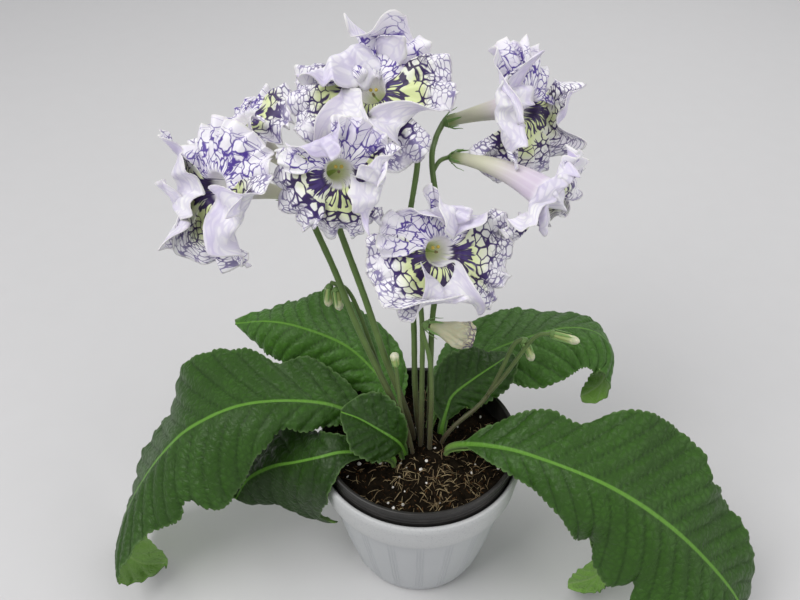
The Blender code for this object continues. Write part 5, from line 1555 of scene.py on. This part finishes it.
class LeafLook(bpy.types.PropertyGroup):
    """Relief and colours of the leaves"""
    # also the painted shade of leaves that lie in shade
    dark_green: colour("Dark Green", (0.014, 0.042, 0.004), "Older blades")
    bright_green: colour("Bright Green", (0.062, 0.170, 0.022), "Younger and lit blades")
    # painted shade along the creases of the side veins
    crease_shade_green: colour("Creases", (0.007, 0.022, 0.003), "Along the sunken side veins")
    # the midrib's own colour, and at 0.6 the painted highlight along the side veins
    rib_colour: colour("Midrib", (0.12, 0.29, 0.035), "Midrib and threads of the side veins")
    under_vein_colour: colour("Under Veins", (0.26, 0.42, 0.12), "Raised veins of the underside")
    foot_colour: colour("Stem", (0.22, 0.30, 0.10), "The leaf's stem at the crown")
    rim_colour: colour("Rim", (0.14, 0.24, 0.08), "Downy margin")
    under_colour: colour("Underside", (0.17, 0.34, 0.055), "Pale underside")
    row_step: distance("Row Step", 0.92 * MM, "Between rows of points along a leaf")
    leaf_columns: whole("Columns", 45, "Points across a leaf")
    tooth_length: distance("Tooth Length", 3.9 * MM, "One tooth of the margin")
    tooth_depth: distance("Tooth Depth", 1.9 * MM, "How deep the margin is cut")
    frill: distance("Frill", 1.0 * MM, "Fine waves of the margin")
    margin_crown: distance("Margin Crowns", 0.5 * MM, "How far the margin rises between side veins")
    vein_spacing: distance("Vein Spacing", 13.5 * MM, "Between side veins of a large leaf")
    vein_slant: amount("Vein Slant", 0.95, "How far side veins run forward for each step out")
    vein_depth: distance("Vein Depth", 1.2 * MM, "From a side vein up to the crown between two")
    quilt_depth: distance("Quilting", 0.30 * MM, "Small pillows of the blade")
    rib_groove: distance("Midrib Groove", 0.9 * MM, "Groove along the top of the midrib")


class StalkLook(bpy.types.PropertyGroup):
    """Sizes and colours of the stalks, sepals, pistils and buds"""
    stalk_colour: colour("Stalk", (0.085, 0.15, 0.03), "Upper part of the stalks")
    stalk_foot_colour: colour("Stalk Foot", (0.065, 0.034, 0.024), "Brown purple towards the soil")
    sepal_colour: colour("Sepals", (0.17, 0.32, 0.08), "Sepals and cups")
    pistil_colour: colour("Ovary", (0.36, 0.50, 0.14), "Ovary and style")
    stigma_colour: colour("Stigma", (0.20, 0.16, 0.05), "Stigma")
    anther_colour: colour("Anthers", (0.75, 0.58, 0.10), "Two joined anthers")
    purple_height: distance("Purple Height", 0.118, "Height up to which the stalks are purple")
    sepal_width: distance("Sepal Width", 1.25 * MM, "Half width of a sepal")
    sepal_length: distance("Sepal Length", 7.5 * MM, "Length of a sepal")
    hair_length: distance("Hair Length", 0.9 * MM, "Down on the stalks")
    hair_width: distance("Hair Width", 0.045 * MM, "Half width of one hair at its root")
    hairs_per_mm: amount("Hairs", 2.6, "Hairs on one millimetre of stalk")


class BloomLook(bpy.types.PropertyGroup):
    """Relief and colours of the blooms"""
    white_colour: colour("White", (0.88, 0.86, 0.92), "Palest parts of the petals")
    lavender_colour: colour("Lavender", (0.70, 0.65, 0.83), "Shaded parts and upper lobes")
    lime_colour: colour("Lime", (0.68, 0.76, 0.38), "Cells of the lower lobes")
    lime_rim_colour: colour("Lime Edge", (0.66, 0.70, 0.22), "Thin edge of some petals")
    violet_colour: colour("Violet", (0.075, 0.035, 0.30), "Veins of upper lobes and margins")
    dark_purple: colour("Dark Purple", (0.020, 0.004, 0.062), "Net of the lower lobes")
    throat_colour: colour("Throat", (0.72, 0.76, 0.46), "Deep in the tube")
    tube_colour: colour("Tube", (0.62, 0.62, 0.46), "Outside of the tube near its foot")
    tube_foot_colour: colour("Tube Foot", (0.36, 0.46, 0.16), "The tube's foot")
    blush_colour: colour("Blush", (0.66, 0.58, 0.70), "Outside of the tube near its mouth")
    faded_colour: colour("Faded", (0.62, 0.60, 0.40), "The spent bloom")
    net_scale: amount("Net Scale", 250.0, "Cells of the net in one metre")
    petal: distance("Petal", 0.6 * MM, "Thickness of a petal")
    petal_frill: distance("Frill", 2.5 * MM, "Height of the fine waves at the margin")
    ruffle_sway: amount("Ruffle Sway", 0.05, "How far ruffles lean over")
    lobe_overlap: amount("Overlap", 0.48, "How far lobes pass their clefts")
    lobe_tilt: distance("Tilt", 3.0 * MM, "How far a lobe's first side stands up")
    fold_growth: amount("Fold Growth", 0.35, "How much longer a lobe is where it is folded over")
    cleft_reach: amount("Cleft Reach", 0.88, "A lobe's reach at its sides")
    fringe: distance("Fringe", 0.6 * MM, "Raggedness of the margin")
    edge_roll: amount("Edge Roll", 70.0, "Degrees by which a lobe's sides turn up at the clefts")
    lip_angle: amount("Lip", 55.0, "Degrees by which the throat's lip rolls out")
    lobe_rows: whole("Lobe Rows", 26, "Rows of points out a lobe")
    lobe_columns: whole("Lobe Columns", 72, "Steps across a lobe")
    tube_rows: whole("Tube Rows", 9, "Rings of points along a tube")


class StageLook(bpy.types.PropertyGroup):
    """Camera, lights and floor"""
    camera_place: FloatVectorProperty(name="Camera Place", description="Where the camera stands",
                                      default=(-0.0116, -0.3411, 0.4812), subtype="TRANSLATION")
    camera_pitch: rotation("Camera Pitch", math.radians(39), "How far the camera looks down")
    lens: amount("Lens", 38.25, "Focal length in millimetres on a sensor 36 mm wide")
    floor_colour: colour("Floor", (0.60, 0.60, 0.61), "Floor and sweep")
    lamp_colour: colour("Lamps", (1.0, 0.985, 0.965), "Light of the lamps")
    sky_colour: colour("Sky", (0.86, 0.865, 0.88), "Even light from all round")
    sky_power: amount("Sky Power", 0.54, "Strength of the even light")
    key_power: amount("Key Power", 19.0, "Watts of the large lamp over the plant's left")
    fill_power: amount("Fill Power", 6.0, "Watts of the lamp on the right")
    back_power: amount("Back Power", 6.0, "Watts of the lamp behind")
    floor_size: distance("Floor Size", 3.0, "Half the floor's width")
    sweep_start: distance("Sweep Start", 1.2, "Where the floor curves up, behind the plant")
    sweep_radius: distance("Sweep Radius", 0.8, "Radius of that curve")


# Operators

class PRIMROSE_OT_outer_pot(bpy.types.Operator):
    """Replace the outer pot's solid by one with fine upright ribs"""
    bl_idname = "primrose.outer_pot"
    bl_label = "Outer Pot"

    def execute(self, context):
        place(outer_pot(context.scene.primrose_pots), "outer_plastic", "outer_pot")
        return {"FINISHED"}


class PRIMROSE_OT_nursery_pot(bpy.types.Operator):
    """Replace the nursery pot's solid by one with a grooved band"""
    bl_idname = "primrose.nursery_pot"
    bl_label = "Nursery Pot"

    def execute(self, context):
        place(nursery_pot(context.scene.primrose_pots), "nursery_plastic", "nursery_pot")
        return {"FINISHED"}


class PRIMROSE_OT_soil(bpy.types.Operator):
    """Replace the soil's solid by crumbly peat with fibres and grains"""
    bl_idname = "primrose.soil"
    bl_label = "Soil"

    def execute(self, context):
        place(soil(context.scene.primrose_soil), "soil", "soil")
        return {"FINISHED"}


class PRIMROSE_OT_leaves(bpy.types.Operator):
    """Replace every leaf's solid by a quilted, toothed blade"""
    bl_idname = "primrose.leaves"
    bl_label = "Leaves"

    def execute(self, context):
        look = context.scene.primrose_leaves
        finishes = [leaf_top(look), leaf_under(look)]
        for key, leaf in LEAVES.items():
            leaf_piece("leaf_" + key, leaf, TONES[key], look, finishes)
        return {"FINISHED"}


class PRIMROSE_OT_stalks(bpy.types.Operator):
    """Replace every stalk's solid by a downy one with sepals, pistils and buds"""
    bl_idname = "primrose.stalks"
    bl_label = "Stalks and Buds"

    def execute(self, context):
        look, blooms = context.scene.primrose_stalks, context.scene.primrose_blooms
        anthers = Finish("anther", Roughness=0.6)
        grain = anthers.noise(anthers.spot(), 900.0)
        gold = anthers.mix(grain, rgba(look.anther_colour, 0.7), rgba(look.anther_colour, 1.2))
        finishes = [stalk_skin(look), bud_skin(blooms), pistil_skin(look),
                    anthers.set(Base_Color=gold)]
        for key, stalk in STALKS.items():
            stalk_piece("stalk_" + key, stalk, look, finishes)
        return {"FINISHED"}


class PRIMROSE_OT_blooms(bpy.types.Operator):
    """Replace every open bloom's solid by a ruffled, veined one"""
    bl_idname = "primrose.blooms"
    bl_label = "Blooms"

    def execute(self, context):
        look = context.scene.primrose_blooms
        finishes = [petal_face(look), petal_back(look)]
        for number, (key, bloom) in enumerate(BLOOMS.items()):
            if key != "faded":
                bloom_piece("bloom_" + key, bloom, number, look, finishes)
        return {"FINISHED"}


class PRIMROSE_OT_faded_bloom(bpy.types.Operator):
    """Replace the spent bloom's solid by a creased one"""
    bl_idname = "primrose.faded_bloom"
    bl_label = "Faded Bloom"

    def execute(self, context):
        faded_piece("bloom_faded", BLOOMS["faded"], faded_petal(context.scene.primrose_blooms))
        return {"FINISHED"}


class PRIMROSE_OT_stage(bpy.types.Operator):
    """Make the floor, the lamps, the even light and the camera"""
    bl_idname = "primrose.stage"
    bl_label = "Stage"

    def execute(self, context):
        look = context.scene.primrose_stage
        floor_piece(look)
        lamp("key", look, (-0.9, -0.5, 1.5), 1.1, look.key_power)
        lamp("fill", look, (1.2, -0.7, 0.9), 1.0, look.fill_power)
        lamp("back", look, (0.4, 1.0, 1.2), 0.9, look.back_power)
        world = bpy.data.worlds.new("sky")
        world.use_nodes = True
        sky = world.node_tree.nodes["Background"]
        sky.inputs["Color"].default_value = rgba(look.sky_colour)
        sky.inputs["Strength"].default_value = look.sky_power
        context.scene.world = world
        context.scene.view_settings.view_transform = "Standard"
        camera(look)
        return {"FINISHED"}


class PRIMROSE_PT_panel(bpy.types.Panel):
    """The primrose's steps and their values"""
    bl_idname = "PRIMROSE_PT_panel"
    bl_label = "Cape Primrose"
    bl_space_type = "VIEW_3D"
    bl_region_type = "UI"
    bl_category = "Primrose"

    def draw(self, context):
        for step in STEPS:
            self.layout.operator(step.bl_idname, text=step.bl_label)
        for name, look in LOOKS:
            box = self.layout.box()
            box.label(text=look.__doc__)
            for key in look.__annotations__:
                box.prop(getattr(context.scene, name), key)


LOOKS = [("primrose_pots", PotLook), ("primrose_soil", SoilLook), ("primrose_leaves", LeafLook),
         ("primrose_stalks", StalkLook), ("primrose_blooms", BloomLook),
         ("primrose_stage", StageLook)]
STEPS = [PRIMROSE_OT_outer_pot, PRIMROSE_OT_nursery_pot, PRIMROSE_OT_soil, PRIMROSE_OT_leaves,
         PRIMROSE_OT_stalks, PRIMROSE_OT_blooms, PRIMROSE_OT_faded_bloom, PRIMROSE_OT_stage]


def register():
    for name, look in LOOKS:
        bpy.utils.register_class(look)
        setattr(bpy.types.Scene, name, PointerProperty(type=look))
    for step in [*STEPS, PRIMROSE_PT_panel]:
        bpy.utils.register_class(step)


def unregister():
    for step in [PRIMROSE_PT_panel, *reversed(STEPS)]:
        bpy.utils.unregister_class(step)
    for name, look in reversed(LOOKS):
        delattr(bpy.types.Scene, name)
        bpy.utils.unregister_class(look)


def main():
    register()
    bpy.ops.primrose.outer_pot()
    bpy.ops.primrose.nursery_pot()
    bpy.ops.primrose.soil()
    bpy.ops.primrose.leaves()
    bpy.ops.primrose.stalks()
    bpy.ops.primrose.blooms()
    bpy.ops.primrose.faded_bloom()
    bpy.ops.primrose.stage()


if __name__ == "__main__":
    main()
